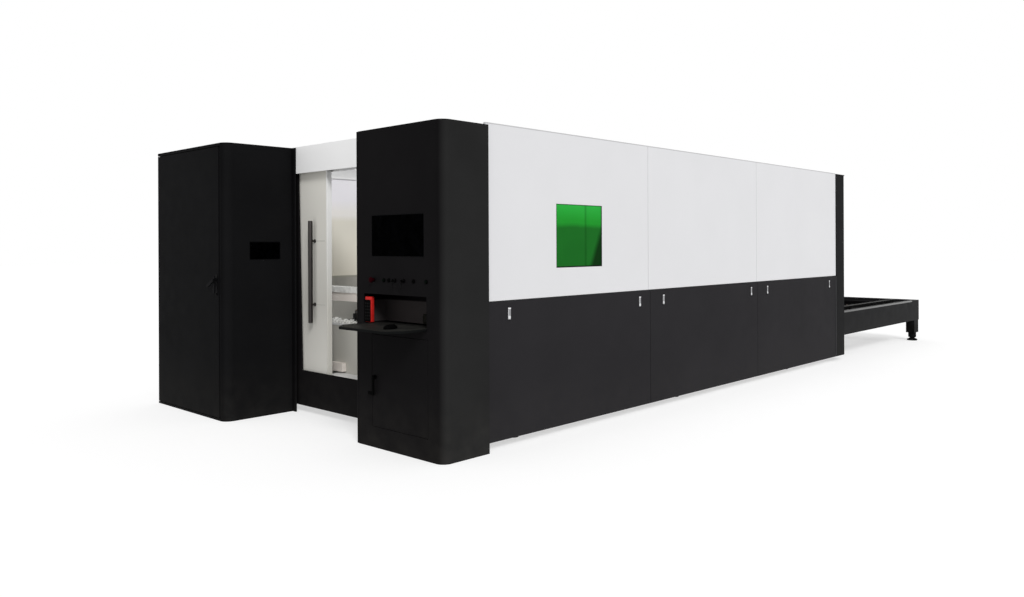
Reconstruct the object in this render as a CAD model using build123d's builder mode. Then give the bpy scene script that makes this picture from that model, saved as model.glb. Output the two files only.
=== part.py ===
"""A fibre laser cutting machine: cabin, console tower, electrical cabinet, gantry and exchange table."""

import os

from build123d import *

# Overall form. Lengths run along X from the operator's end, widths along Y from the console side.
overall_length = 9760
overall_width = 3520
wall_height = 2272
handle_reach = 360      # cabinet handle, past the console tower's face

# Console tower
tower_depth = 424
tower_width = 913
tower_height = 2250
tower_corner = 70
tower_far_corner = 8

# Cabin
wall_y = 30             # outer face of the near wall, behind the tower's side
cabin_far = 2955
panel_depth = 25
sheet = 3
seam_z = 1035
skirt_z = 60
seam_gap = 5
tube = 60
tube_y = wall_y + panel_depth
column_x = 6373
column_end = 6623

# Bed, tracks and exchange table
bed_start = 560
bed_end = 5620
bed_top = 900
beam_width = 200
beam_y = 130
track_width = 70
upper_tread = 590
lower_tread = 240
table_end = overall_length - handle_reach
rail_bottom = 300
rail_width = 80

# Datum: the tower's near bottom corner
tower_x = handle_reach - overall_length / 2
side_y = -overall_width / 2
floor = Plane(origin=(tower_x, side_y, 0))
face = Plane(origin=(tower_x, side_y, 0), x_dir=(0, 1, 0), z_dir=(1, 0, 0))
side = Plane(origin=(tower_x, side_y, 0), x_dir=(1, 0, 0), z_dir=(0, -1, 0))


def bar(x, y, z, mode=Mode.ADD):
    """A straight bar between pairs of limits, measured from the datum corner."""
    middle = (tower_x + sum(x) / 2, side_y + sum(y) / 2, sum(z) / 2)
    with Locations(middle):
        Box(x[1] - x[0], y[1] - y[0], z[1] - z[0], mode=mode)


def member(x, y, z):
    """One straight member of a welded frame, as a solid of its own."""
    with BuildPart() as piece:
        bar(x, y, z)
    return piece.part


def across(y):
    """The same pair of limits on the cabin's far side."""
    return wall_y + cabin_far - y[1], wall_y + cabin_far - y[0]


def grown(limits, by):
    """A pair of limits, wider by the same amount at both ends."""
    return limits[0] - by, limits[1] + by


def export_group(name, solids):
    """Several like pieces of one kind, as one named group."""
    group = Compound(label=name, children=solids)
    export_step(group, f"parts/{name}.step")


os.makedirs("parts", exist_ok=True)

# Console tower: folded sheet with a keyboard recess, a screen pocket and a lower compartment
screen_y = (181, 755)
screen_z = (1346, 1643)
screen_pocket = 8
recess_y = (160, 845)
recess_z = (853, 1085)
recess_depth = 200
shelf_y = (165, 840)
shelf_z = (857, 875)
shelf_x = (-290, 150)
shelf_travel = 200
door_y = (150, 750)
door_z = (150, 800)
door_thickness = 20
door_gap = 3
compartment_back = 400
button_z = 1185
button_hole = 11
button_hole_depth = 45
estop_y = 726
push_button_ys = (611, 556, 290, 160)
key_switch_ys = (490, 395)
control_ys = (estop_y, *push_button_ys, *key_switch_ys)

with BuildPart() as tower_shell:
    with BuildSketch(floor) as outline:
        with Locations((tower_depth / 2, tower_width / 2)):
            Rectangle(tower_depth, tower_width)
        fillet(outline.vertices().group_by(Axis.X)[0].sort_by(Axis.Y)[0], radius=tower_corner)
        fillet(outline.vertices().group_by(Axis.X)[0].sort_by(Axis.Y)[-1], radius=tower_far_corner)
    extrude(amount=tower_height)
    bar((0, screen_pocket), screen_y, screen_z, mode=Mode.SUBTRACT)
    bar((0, recess_depth), recess_y, recess_z, mode=Mode.SUBTRACT)
    slot_top = shelf_z[1] + door_gap
    slot_end = shelf_x[1] + shelf_travel + 10
    bar((0, slot_end), recess_y, (recess_z[0], slot_top), mode=Mode.SUBTRACT)
    rebate = (0, door_thickness)
    bar(rebate, grown(door_y, door_gap), grown(door_z, door_gap), mode=Mode.SUBTRACT)
    inside = (door_thickness, compartment_back)
    bar(inside, grown(door_y, -20), grown(door_z, -20), mode=Mode.SUBTRACT)
    with BuildSketch(face):
        with Locations(*[(y, button_z) for y in control_ys]):
            Circle(button_hole)
    extrude(amount=button_hole_depth, mode=Mode.SUBTRACT)
tower_shell.part.label = "tower_shell"
export_step(tower_shell.part, "parts/tower_shell.step")

with BuildPart() as tower_screen:
    bar((2, screen_pocket), screen_y, screen_z)
tower_screen.part.label = "tower_screen"
export_step(tower_screen.part, "parts/tower_screen.step")

# Controls: each sits in a 22 mm hole behind a collar
collar_radius = 15
collar_height = 5
button_radius = 10.5
button_reach = 11
button_depth = 32
estop_radius = 20
estop_reach = 38
estop_head = 16

collars = []
for y in control_ys:
    with BuildPart() as collar:
        with BuildSketch(face):
            with Locations((y, button_z)):
                Circle(collar_radius)
                Circle(button_hole, mode=Mode.SUBTRACT)
        extrude(amount=-collar_height)
    collars.append(collar.part)
export_group("control_collars", collars)

with BuildPart() as e_stop_button:
    with BuildSketch(face.offset(-estop_reach + estop_head)):
        with Locations((estop_y, button_z)):
            Circle(button_radius)
    extrude(amount=estop_reach - estop_head + button_depth)
    with BuildSketch(face.offset(-estop_reach)):
        with Locations((estop_y, button_z)):
            Circle(estop_radius)
    extrude(amount=estop_head)
    fillet(e_stop_button.edges().sort_by(Axis.X)[0], radius=6)
e_stop_button.part.label = "e_stop_button"
export_step(e_stop_button.part, "parts/e_stop_button.step")

for number, y in enumerate(push_button_ys, start=1):
    with BuildPart() as push_button:
        with BuildSketch(face.offset(-button_reach)):
            with Locations((y, button_z)):
                Circle(button_radius)
        extrude(amount=button_reach + button_depth)
    push_button.part.label = f"push_button_{number}"
    export_step(push_button.part, f"parts/push_button_{number}.step")

# Key switches: a turning barrel with its key, and a spare key that hangs from the bow
bow = (-34, -8)
bow_half = 11
key_sheet = 1.5
spare_half = 6
for number, y in enumerate(key_switch_ys, start=1):
    with BuildPart() as key_switch:
        with BuildSketch(face.offset(-8)):
            with Locations((y, button_z)):
                Circle(button_radius)
        extrude(amount=8 + button_depth)
        bar(bow, (y - key_sheet, y + key_sheet), (button_z - bow_half, button_z + bow_half))
        bar((-30, -28), (y - spare_half, y + spare_half), (button_z - 72, button_z - bow_half + 4))
    key_switch.part.label = f"key_switch_{number}"
    export_step(key_switch.part, f"parts/key_switch_{number}.step")

# Keyboard shelf: a folded plate with a rounded front, which pulls out of its slot under the recess
with BuildPart() as keyboard_shelf:
    with BuildSketch(floor.offset(shelf_z[0])) as outline:
        with Locations((sum(shelf_x) / 2, sum(shelf_y) / 2)):
            Rectangle(shelf_x[1] - shelf_x[0], shelf_y[1] - shelf_y[0])
        fillet(outline.vertices().group_by(Axis.X)[0], radius=45)
    extrude(amount=shelf_z[1] - shelf_z[0])
    chamfer(keyboard_shelf.faces().sort_by(Axis.Z)[-1].edges().group_by(Axis.X)[0], length=3)
keyboard_shelf.part.label = "keyboard_shelf"
export_step(keyboard_shelf.part, "parts/keyboard_shelf.step")

mouse_at = (-155, 345)
with BuildPart() as mouse:
    with BuildSketch(floor.offset(shelf_z[1])):
        with Locations(mouse_at):
            Ellipse(54, 31)
    extrude(amount=14)
    with BuildSketch(floor.offset(shelf_z[1] + 14)):
        with Locations(mouse_at):
            Ellipse(54, 31)
    extrude(amount=16, taper=38)
mouse.part.label = "mouse"
export_step(mouse.part, "parts/mouse.step")

# Hand pendant, hung on the recess's far wall, and a socket box on its back wall
with BuildPart() as hand_pendant:
    bar((4, 66), (769, recess_y[1]), (880, 1062))
    chamfer(hand_pendant.edges().filter_by(Axis.Z).group_by(Axis.X)[0], length=6)
hand_pendant.part.label = "hand_pendant"
export_step(hand_pendant.part, "parts/hand_pendant.step")

with BuildPart() as socket_box:
    bar((110, recess_depth), (215, 330), (892, 958))
    chamfer(socket_box.faces().sort_by(Axis.X)[0].edges(), length=4)
socket_box.part.label = "socket_box"
export_step(socket_box.part, "parts/socket_box.step")

# Lower door: a folded tray, open at the back, with a turning lever handle
with BuildPart() as tower_door:
    bar((0, door_thickness - 2), door_y, door_z)
    offset(amount=-sheet, openings=tower_door.faces().sort_by(Axis.X)[-1])
tower_door.part.label = "tower_door"
export_step(tower_door.part, "parts/tower_door.step")

lever_y = 715
lever_z = 500
lever_width = 24
lever_length = 140
with BuildPart() as tower_door_handle:
    with BuildSketch(face.offset(-14)):
        with Locations((lever_y, lever_z)):
            Circle(14)
    extrude(amount=14)
    with BuildSketch(face.offset(-26)):
        with Locations((lever_y, lever_z - lever_length / 2 + lever_width / 2)):
            SlotOverall(lever_length, lever_width, rotation=90)
    extrude(amount=12)
tower_door_handle.part.label = "tower_door_handle"
export_step(tower_door_handle.part, "parts/tower_door_handle.step")

# Electrical cabinet: a tall shell with one rounded corner post, a full-height door and a display
cabinet_x = (-321, 310)
cabinet_y = (2280, 3520)
cabinet_top = 2269
cabinet_corner = 75
cabinet_wall = 18
cabinet_door_x = (-321, -283)
cabinet_door_y = (2380, 3519)
cabinet_door_z = (22, 2240)
shadow_gap = 25
display_x = (-100, 188)
display_z = (1310, 1463)
grille = 250
grille_depth = 6
grille_zs = (420, 1750)

with BuildPart() as cabinet_shell:
    with BuildSketch(floor) as outline:
        with Locations((sum(cabinet_x) / 2, sum(cabinet_y) / 2)):
            Rectangle(cabinet_x[1] - cabinet_x[0], cabinet_y[1] - cabinet_y[0])
        near_front = outline.vertices().group_by(Axis.X)[0].sort_by(Axis.Y)[0]
        fillet(near_front, radius=cabinet_corner)
    extrude(amount=cabinet_top)
    front_pocket = (cabinet_door_x[0], cabinet_door_x[1] + 2)
    pocket_y = (cabinet_door_y[0] - shadow_gap, cabinet_y[1])
    bar(front_pocket, pocket_y, grown(cabinet_door_z, 5), mode=Mode.SUBTRACT)
    hollow_x = (front_pocket[1], cabinet_x[1] - cabinet_wall)
    bar(hollow_x, (2400, 3480), grown(cabinet_door_z, -30), mode=Mode.SUBTRACT)
    bar(display_x, (cabinet_y[0], cabinet_y[0] + 6), display_z, mode=Mode.SUBTRACT)
    grille_x = grown((sum(cabinet_x) / 2, sum(cabinet_x) / 2), grille / 2)
    for z in grille_zs:
        bar(grille_x, (cabinet_y[1] - grille_depth, cabinet_y[1]), (z, z + grille), mode=Mode.SUBTRACT)
cabinet_shell.part.label = "cabinet_shell"
export_step(cabinet_shell.part, "parts/cabinet_shell.step")

with BuildPart() as cabinet_display:
    bar(display_x, (cabinet_y[0] + 2, cabinet_y[0] + 6), display_z)
cabinet_display.part.label = "cabinet_display"
export_step(cabinet_display.part, "parts/cabinet_display.step")

with BuildPart() as cabinet_door:
    bar(cabinet_door_x, cabinet_door_y, cabinet_door_z)
    offset(amount=-sheet, openings=cabinet_door.faces().sort_by(Axis.X)[-1])
cabinet_door.part.label = "cabinet_door"
export_step(cabinet_door.part, "parts/cabinet_door.step")

# Cabinet handle: an upright grip bar with a short sloping lever and a round lock
grip_y = 2412
grip_z = (1040, 1180)
pivot_z = 1150
with BuildPart() as cabinet_door_handle:
    with BuildSketch(face.offset(cabinet_x[0] - 16)):
        with Locations((grip_y, pivot_z)):
            Circle(13)
    extrude(amount=16)
    with BuildSketch(face.offset(cabinet_x[0] - 27)):
        with Locations((grip_y, sum(grip_z) / 2)):
            SlotOverall(grip_z[1] - grip_z[0], 24, rotation=90)
    extrude(amount=11)
    lever_front = -handle_reach
    with BuildSketch(face.offset(lever_front)):
        with BuildLine():
            Polyline((grip_y - 8, 1162), (grip_y + 95, 1112), (grip_y + 105, 1090),
                     (grip_y + 82, 1088), (grip_y - 12, 1138), close=True)
        make_face()
    extrude(amount=cabinet_x[0] - 27 - lever_front)
cabinet_door_handle.part.label = "cabinet_door_handle"
export_step(cabinet_door_handle.part, "parts/cabinet_door_handle.step")

# Inside the cabinet: a mounting plate with rows of drives, and the laser source below it
plate_x = (150, 156)
with BuildPart() as drive_rack:
    bar(plate_x, (2440, 3440), (900, 2150))
    bar((156, hollow_x[1]), (2440, 2500), (900, 2150))
    bar((156, hollow_x[1]), (3380, 3440), (900, 2150))
    for row_z in (1780, 1420):
        for slot in range(6):
            slot_y = 2490 + slot * 155
            bar((-20, plate_x[0]), (slot_y, slot_y + 120), (row_z, row_z + 280))
    for duct_z in (1700, 1340, 1000):
        bar((90, plate_x[0]), (2470, 3410), (duct_z, duct_z + 60))
drive_rack.part.label = "drive_rack"
export_step(drive_rack.part, "parts/drive_rack.step")

with BuildPart() as laser_source:
    bar((-240, 280), (2520, 3360), (52, 760))
    chamfer(laser_source.edges().filter_by(Axis.Z), length=8)
    for shelf in range(3):
        z = 110 + shelf * 210
        bar((-246, -240), (2570, 3310), (z, z + 170))
laser_source.part.label = "laser_source"
export_step(laser_source.part, "parts/laser_source.step")

# Cabin frame: square tube, with cross ties over the open top and a threshold plate in the doorway
top_tube_z = (2200, 2260)
bottom_tube_z = (skirt_z, skirt_z + tube)
seam_tube_z = (seam_z - tube / 2, seam_z + tube / 2)
near_tube_y = (tube_y, tube_y + tube)
far_tube_y = across(near_tube_y)
post_xs = (450, 2386, 4338, column_x - tube)
frame_x = (post_xs[0], column_x)
members = []
for tube_span in (near_tube_y, far_tube_y):
    members.append(member(frame_x, tube_span, top_tube_z))
    members.append(member(frame_x, tube_span, bottom_tube_z))
    for x in post_xs:
        members.append(member((x, x + tube), tube_span, (bottom_tube_z[1], seam_tube_z[0])))
        members.append(member((x, x + tube), tube_span, (seam_tube_z[1], top_tube_z[0])))
    members.append(member(frame_x, tube_span, seam_tube_z))
for x in post_xs:
    members.append(member((x, x + tube), (near_tube_y[1], far_tube_y[0]), top_tube_z))
for x in (post_xs[1], post_xs[2]):
    for gap in ((near_tube_y[1], beam_y), across((near_tube_y[1], beam_y))):
        members.append(member((x, x + tube), gap, bottom_tube_z))
threshold_x = (408, bed_start)
threshold_y = (tower_width + 2, 1936)
threshold_z = (335, 341)
members.append(member(threshold_x, threshold_y, threshold_z))
export_group("cabin_frame", members)

# Inner lining of the far wall: one thin sheet on the frame's inner faces
lining_x = (520, 6300)
lining_z = (bottom_tube_z[1] + 5, top_tube_z[0] - 5)
with BuildPart() as far_lining:
    bar(lining_x, (far_tube_y[0] - 2, far_tube_y[0]), lining_z)
far_lining.part.label = "far_lining"
export_step(far_lining.part, "parts/far_lining.step")

# Side panels: folded trays. The first has the green window's opening.
window_x = (1170, 1733)
window_z = (1253, 1735)
panel_y = (wall_y, wall_y + panel_depth)
upper_xs = (tower_depth + 3, 2386, 4350, column_x)
upper_z = (seam_z + seam_gap / 2, wall_height)
lower_xs = (tower_depth + 5, 2415, 4370, column_x)
lower_z = (skirt_z, seam_z - seam_gap / 2)

for number in (1, 2, 3):
    with BuildPart() as side_panel:
        bar((upper_xs[number - 1], upper_xs[number] - seam_gap), panel_y, upper_z)
        if number == 1:
            bar(window_x, panel_y, window_z, mode=Mode.SUBTRACT)
        offset(amount=-sheet, openings=side_panel.faces().sort_by(Axis.Y)[-1])
    side_panel.part.label = f"side_panel_{number}"
    export_step(side_panel.part, f"parts/side_panel_{number}.step")

with BuildPart() as window_glass:
    bar(window_x, (wall_y + 2, wall_y + 10), window_z)
window_glass.part.label = "window_glass"
export_step(window_glass.part, "parts/window_glass.step")

# Lower side panels lift off. Each has two flush paddle latches in pressed surrounds.
latch_z = (897, 987)
latch_half = 17
rim = 5
rim_height = 3
latch_inset = 185
paddle_gap = 1
latch_xs = (656, 2258, 2620, 4235, 4590, 6180)
for number in (1, 2, 3):
    own_latches = latch_xs[2 * number - 2:2 * number]
    with BuildPart() as lower_panel:
        bar((lower_xs[number - 1], lower_xs[number] - seam_gap), panel_y, lower_z)
        for x in own_latches:
            bar((x - latch_half, x + latch_half), panel_y, latch_z, mode=Mode.SUBTRACT)
        offset(amount=-sheet, openings=lower_panel.faces().sort_by(Axis.Y)[-1])
        for x in own_latches:
            rim_y = (wall_y - rim_height, wall_y)
            hole_x = (x - latch_half, x + latch_half)
            bar(grown(hole_x, rim), rim_y, grown(latch_z, rim))
            bar(hole_x, rim_y, latch_z, mode=Mode.SUBTRACT)
    lower_panel.part.label = f"lower_panel_{number}"
    export_step(lower_panel.part, f"parts/lower_panel_{number}.step")

for number, x in enumerate(latch_xs, start=1):
    with BuildPart() as latch:
        paddle_x = (x - latch_half + paddle_gap, x + latch_half - paddle_gap)
        bar(paddle_x, (wall_y - 2, wall_y + 4), grown(latch_z, -2))
        chamfer(latch.faces().sort_by(Axis.Y)[0].edges().filter_by(Axis.Z), length=2)
    latch.part.label = f"latch_{number}"
    export_step(latch.part, f"parts/latch_{number}.step")

# Far side: the same panels, fixed
far_panel_y = across(panel_y)
far_upper = []
far_lower = []
for number in (1, 2, 3):
    first = 480 if number == 1 else upper_xs[number - 1]
    with BuildPart() as far_upper_panel:
        bar((first, upper_xs[number] - seam_gap), far_panel_y, upper_z)
        offset(amount=-sheet, openings=far_upper_panel.faces().sort_by(Axis.Y)[0])
    far_upper.append(far_upper_panel.part)
    first = 480 if number == 1 else lower_xs[number - 1]
    with BuildPart() as far_lower_panel:
        bar((first, lower_xs[number] - seam_gap), far_panel_y, lower_z)
        offset(amount=-sheet, openings=far_lower_panel.faces().sort_by(Axis.Y)[0])
    far_lower.append(far_lower_panel.part)
export_group("far_upper_panels", far_upper)
export_group("far_lower_panels", far_lower)

# End columns and the end wall over the pallets' opening
column_width = 150
column_top = 2260
near_column_y = (wall_y - 5, wall_y - 5 + column_width)
end_opening_y = (near_column_y[1] + 25, across(near_column_y)[0] - 25)
end_opening_top = 1000
columns = []
for column_y in (near_column_y, across(near_column_y)):
    with BuildPart() as column:
        bar((column_x, column_end), column_y, (skirt_z, column_top))
        chamfer(column.edges().filter_by(Axis.Z).group_by(Axis.X)[-1], length=12)
    columns.append(column.part)
export_group("end_columns", columns)

with BuildPart() as end_wall:
    wall_span = (near_column_y[1], across(near_column_y)[0])
    bar((column_end - 60, column_end - 30), wall_span, (skirt_z, 2200))
    low_opening = (skirt_z, end_opening_top)
    bar((column_end - 60, column_end - 30), end_opening_y, low_opening, mode=Mode.SUBTRACT)
end_wall.part.label = "end_wall"
export_step(end_wall.part, "parts/end_wall.step")

# Operator's end: the door header, the sill with its closing strip by the cabinet, the fixed panel and the
# sliding door
header_x = (310, 424)
header_z = (2045, wall_height)
header_y = (tower_width, cabin_far)
leaf_x = (360, 405)
leaf_y = (1838, 2860)
leaf_z = (345, 2052)
with BuildPart() as door_header:
    bar(header_x, header_y, header_z)
    bar(grown(header_x, -4), grown(header_y, -4), (header_z[0], header_z[1] - 4), mode=Mode.SUBTRACT)
    bar((372, 393), grown(header_y, -4), (2160, header_z[1] - 4))
door_header.part.label = "door_header"
export_step(door_header.part, "parts/door_header.step")

sill_end = 2860
strip_foot_y = 2190
strip_head_y = 2240
strip_end = 2300
with BuildPart() as door_sill:
    bar((335, 350), (tower_width, sill_end), (skirt_z, 360))
    bar((350, 424), (tower_width, sill_end), (skirt_z, 335))
    bar((358, 407), (tower_width, sill_end), (325, 335), mode=Mode.SUBTRACT)
    bar((424, bed_start), (1100, 1160), (skirt_z, 120))
    bar((424, bed_start), (1800, 1860), (skirt_z, 120))
    with BuildSketch(face.offset(335)):
        with BuildLine():
            Polyline((strip_foot_y, 335), (strip_end, 335), (strip_end, header_z[0]),
                     (strip_head_y, header_z[0]), close=True)
        make_face()
    extrude(amount=15)
door_sill.part.label = "door_sill"
export_step(door_sill.part, "parts/door_sill.step")

front_panel_y = (1940, cabin_far)
with BuildPart() as front_panel:
    bar((424, 449), front_panel_y, (skirt_z, wall_height))
    offset(amount=-sheet, openings=front_panel.faces().sort_by(Axis.X)[-1])
front_panel.part.label = "front_panel"
export_step(front_panel.part, "parts/front_panel.step")

with BuildPart() as door_leaf:
    bar(leaf_x, leaf_y, leaf_z)
    offset(amount=-sheet, openings=door_leaf.faces().sort_by(Axis.X)[-1])
    for hanger_y in (1998, 2690):
        bar((376, 389), (hanger_y - 40, hanger_y + 40), (leaf_z[1] - 3, 2158))
door_leaf.part.label = "door_leaf"
export_step(door_leaf.part, "parts/door_leaf.step")

pull_y = 2020
pull_z = (775, 1636)
pull_radius = 15
pull_x = 315
with BuildPart() as door_handle:
    with BuildSketch(floor.offset(pull_z[0])):
        with Locations((pull_x, pull_y)):
            Circle(pull_radius)
    extrude(amount=pull_z[1] - pull_z[0])
    with BuildSketch(face.offset(pull_x)):
        with Locations((pull_y, 930), (pull_y, 1466)):
            Circle(9)
    extrude(amount=leaf_x[0] - pull_x)
door_handle.part.label = "door_handle"
export_step(door_handle.part, "parts/door_handle.step")

# Machine bed: two box beams with track ledges for the pallets, tied at the bottom
beam_z = (skirt_z, bed_top)
near_beam = (beam_y, beam_y + beam_width)
far_beam = across(near_beam)
track_y = (near_beam[1], near_beam[1] + track_width)
track_start = 900
ledge = 20
bed = []
for beam in (near_beam, far_beam):
    bed.append(member((bed_start + 80, bed_end), beam, beam_z))
for track in (track_y, across(track_y)):
    bed.append(member((track_start, bed_end), track, (upper_tread - ledge, upper_tread)))
    bed.append(member((track_start, bed_end), track, (lower_tread - ledge, lower_tread)))
bed.append(member((bed_start, bed_start + 80), (near_beam[0], far_beam[1]), (skirt_z, 757)))
tie_xs = (1300, 2700, 4100, bed_end - 100)
for x in tie_xs:
    bed.append(member((x, x + 100), (near_beam[1], far_beam[0]), (skirt_z, 90)))
export_group("machine_bed", bed)

# Cable bridge: a beam on two posts over the bed's front plate, with its energy chain and a terminal box
bridge_x = (570, 640)
bridge_z = (955, 1025)
bridge_post = 70
bridge_y = (near_beam[0], far_beam[1])
bridge = [member(bridge_x, bridge_y, bridge_z)]
for post_y in ((bridge_y[0], bridge_y[0] + bridge_post), (bridge_y[1] - bridge_post, bridge_y[1])):
    bridge.append(member(bridge_x, post_y, (757, bridge_z[0])))
bridge.append(member(grown(bridge_x, -8), grown(bridge_y, -120), (bridge_z[1], bridge_z[1] + 45)))
bridge.append(member((520, bed_start), (1860, 2020), (355, 430)))
export_group("cable_bridge", bridge)

slag_bins = []
for x in (960, 2380, 3800):
    with BuildPart() as slag_bin:
        bar((x, x + 1380), (440, cabin_far + wall_y - 440), (90, 205))
        offset(amount=-sheet, openings=slag_bin.faces().sort_by(Axis.Z)[-1])
    slag_bins.append(slag_bin.part)
export_group("slag_bins", slag_bins)

# Guide rails and racks along the bed beams
guide_height = 32
rails = []
for beam in (near_beam, far_beam):
    middle = sum(beam) / 2
    rails.append(member((700, bed_end - 40), (middle - 15, middle + 15), (bed_top, bed_top + guide_height)))
    rack_y = (middle + 45, middle + 70)
    rails.append(member((700, bed_end - 40), rack_y, (bed_top, bed_top + 26)))
export_group("guide_rails", rails)

# Gantry: a beam with a sloping back on two trucks that straddle the guide rails
gantry_x = 1500
gantry_depth = 280
gantry_z = (1030, 1320)
truck_reach = 80
truck_z = (bed_top + 4, gantry_z[0])
run_gap = 1
with BuildPart() as gantry_beam:
    with BuildSketch(side.offset(-near_beam[0])):
        with BuildLine():
            Polyline((gantry_x, gantry_z[0]), (gantry_x + gantry_depth, gantry_z[0]),
                     (gantry_x + gantry_depth, gantry_z[0] + 110),
                     (gantry_x + 150, gantry_z[1]), (gantry_x, gantry_z[1]), close=True)
        make_face()
    extrude(amount=near_beam[0] - far_beam[1])
    for guide_z in (gantry_z[0] + 40, gantry_z[1] - 70):
        bar((gantry_x - 24, gantry_x), (360, far_beam[0] - 30), (guide_z, guide_z + 30))
    for beam in (near_beam, far_beam):
        middle = sum(beam) / 2
        truck_x = (gantry_x - truck_reach, gantry_x + gantry_depth + truck_reach)
        bar(truck_x, beam, truck_z)
        rail_slot = grown((middle - 15, middle + 15), run_gap)
        slot_z = (truck_z[0], bed_top + guide_height + run_gap)
        bar(truck_x, rail_slot, slot_z, mode=Mode.SUBTRACT)
        rack_slot = grown((middle + 45, middle + 70), run_gap)
        bar(truck_x, rack_slot, (truck_z[0], bed_top + 26 + run_gap), mode=Mode.SUBTRACT)
        bar((gantry_x + 60, gantry_x + 200), grown(beam, -40), (gantry_z[1] - 60, gantry_z[1] + 110))
gantry_beam.part.label = "gantry_beam"
export_step(gantry_beam.part, "parts/gantry_beam.step")

# Carriage on the beam's face, with the vertical slide and the cutting head
carriage_y = (1330, 1650)
carriage_x = (gantry_x - 90, gantry_x - 25)
carriage_z = (1040, 1460)
z_slide_x = (gantry_x - 150, gantry_x - 92)
z_slide_y = (1400, 1580)
z_slide_z = (1010, 1400)
head_x = gantry_x - 205
head_y = sum(z_slide_y) / 2
nozzle_z = 950
with BuildPart() as y_carriage:
    bar(carriage_x, carriage_y, carriage_z)
    chamfer(y_carriage.edges().filter_by(Axis.X), length=20)
y_carriage.part.label = "y_carriage"
export_step(y_carriage.part, "parts/y_carriage.step")

with BuildPart() as z_slide:
    bar(z_slide_x, z_slide_y, z_slide_z)
    bar((z_slide_x[0] - 8, z_slide_x[0]), grown(z_slide_y, -30), (1120, 1320))
z_slide.part.label = "z_slide"
export_step(z_slide.part, "parts/z_slide.step")

head_plane = Plane(origin=(tower_x + head_x, side_y + head_y, 0), x_dir=(1, 0, 0), z_dir=(0, -1, 0))
with BuildPart() as cutting_head:
    with BuildSketch(head_plane):
        with BuildLine():
            Polyline((0, nozzle_z), (4, nozzle_z), (14, nozzle_z + 22), (16, nozzle_z + 50),
                     (30, nozzle_z + 70), (34, nozzle_z + 150), (47, nozzle_z + 165),
                     (47, nozzle_z + 360), (26, nozzle_z + 385), (26, nozzle_z + 440),
                     (0, nozzle_z + 440), close=True)
        make_face()
    revolve(axis=Axis((tower_x + head_x, side_y + head_y, 0), (0, 0, 1)))
cutting_head.part.label = "cutting_head"
export_step(cutting_head.part, "parts/cutting_head.step")

# Exchange table: channel sides, an end crossbar, inner tracks in line with the bed's ledges, and the
# chain drive's shaft and gearmotor
near_rail_y = (wall_y, wall_y + rail_width)
rail_z = (rail_bottom, upper_tread)
end_bar_x = (table_end - 80, table_end)
rail_flange = 12
with BuildPart() as near_rail:
    bar((column_end, end_bar_x[0]), near_rail_y, rail_z)
    hollow_y = (near_rail_y[0] + rail_flange, near_rail_y[1])
    bar((column_end, end_bar_x[0]), hollow_y, grown(rail_z, -rail_flange), mode=Mode.SUBTRACT)
with BuildPart() as far_rail:
    bar((column_end, end_bar_x[0]), across(near_rail_y), rail_z)
    bar((column_end, end_bar_x[0]), across(hollow_y), grown(rail_z, -rail_flange), mode=Mode.SUBTRACT)
table = [near_rail.part, far_rail.part]
table.append(member(end_bar_x, (near_rail_y[0], across(near_rail_y)[1]), rail_z))
track_web = (track_y[0] - 12, track_y[0])
for flip in (False, True):
    web = across(track_web) if flip else track_web
    lip = across(track_y) if flip else track_y
    table.append(member((bed_end, end_bar_x[0]), web, (lower_tread - ledge, upper_tread)))
    table.append(member((bed_end, end_bar_x[0]), lip, (upper_tread - ledge, upper_tread)))
    table.append(member((bed_end, end_bar_x[0]), lip, (lower_tread - ledge, lower_tread)))
    near_gap = (near_rail_y[1], track_web[0])
    gap = across(near_gap) if flip else near_gap
    for x in (6700, 7500, 8300, 8900):
        table.append(member((x, x + 12), gap, (rail_z[0] + 20, rail_z[1] - 20)))
for x in (6100, 7500, 8900):
    table.append(member((x, x + 100), (track_y[1], across(track_y)[0]), (lower_tread - 25, lower_tread + 5)))
drive_x = table_end - 108
drive_z = 540
with BuildPart() as drive_shaft:
    with BuildSketch(side.offset(-track_y[0])):
        with Locations((drive_x, drive_z)):
            Circle(12)
    extrude(amount=track_y[0] - across(track_y)[1])
    for sprocket_y in ((track_y[0] + 3, track_y[0] + 11), across((track_y[0] + 3, track_y[0] + 11))):
        with BuildSketch(side.offset(-sprocket_y[0])):
            with Locations((drive_x, drive_z)):
                Circle(26)
        extrude(amount=sprocket_y[0] - sprocket_y[1])
table.append(drive_shaft.part)
with BuildPart() as gearmotor:
    bar((drive_x - 62, drive_x + 18), (230, track_web[0]), (470, 560))
    bar((drive_x - 152, drive_x + 18), (130, 230), (430, 560))
    chamfer(gearmotor.edges().filter_by(Axis.X), length=8)
table.append(gearmotor.part)
leg_x = (table_end - 200, table_end - 25)
leg_y = (near_rail_y[0], near_rail_y[0] + 117)
leg_z = (118, rail_bottom)
for legs_y in (leg_y, across(leg_y)):
    table.append(member(leg_x, legs_y, leg_z))
inner_leg_y = (track_y[0] - 12, track_y[1])
for legs_y in (inner_leg_y, across(inner_leg_y)):
    table.append(member((6100, 6200), legs_y, (leg_z[0], lower_tread - ledge)))
export_group("exchange_frame", table)

# Levelling feet: a round pad, a threaded stud and a locknut under each leg and beam. The table's end
# stands on a larger pair, whose studs run up into a round sleeve under the leg.
pad_radius = 52
pad_rim = 8
stud_radius = 14
nut_radius = 26
nut_height = 18
end_pad_radius = 69
end_pad_rim = 20
end_stud_radius = 34
sleeve_radius = 53
sleeve_height = 73


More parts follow.
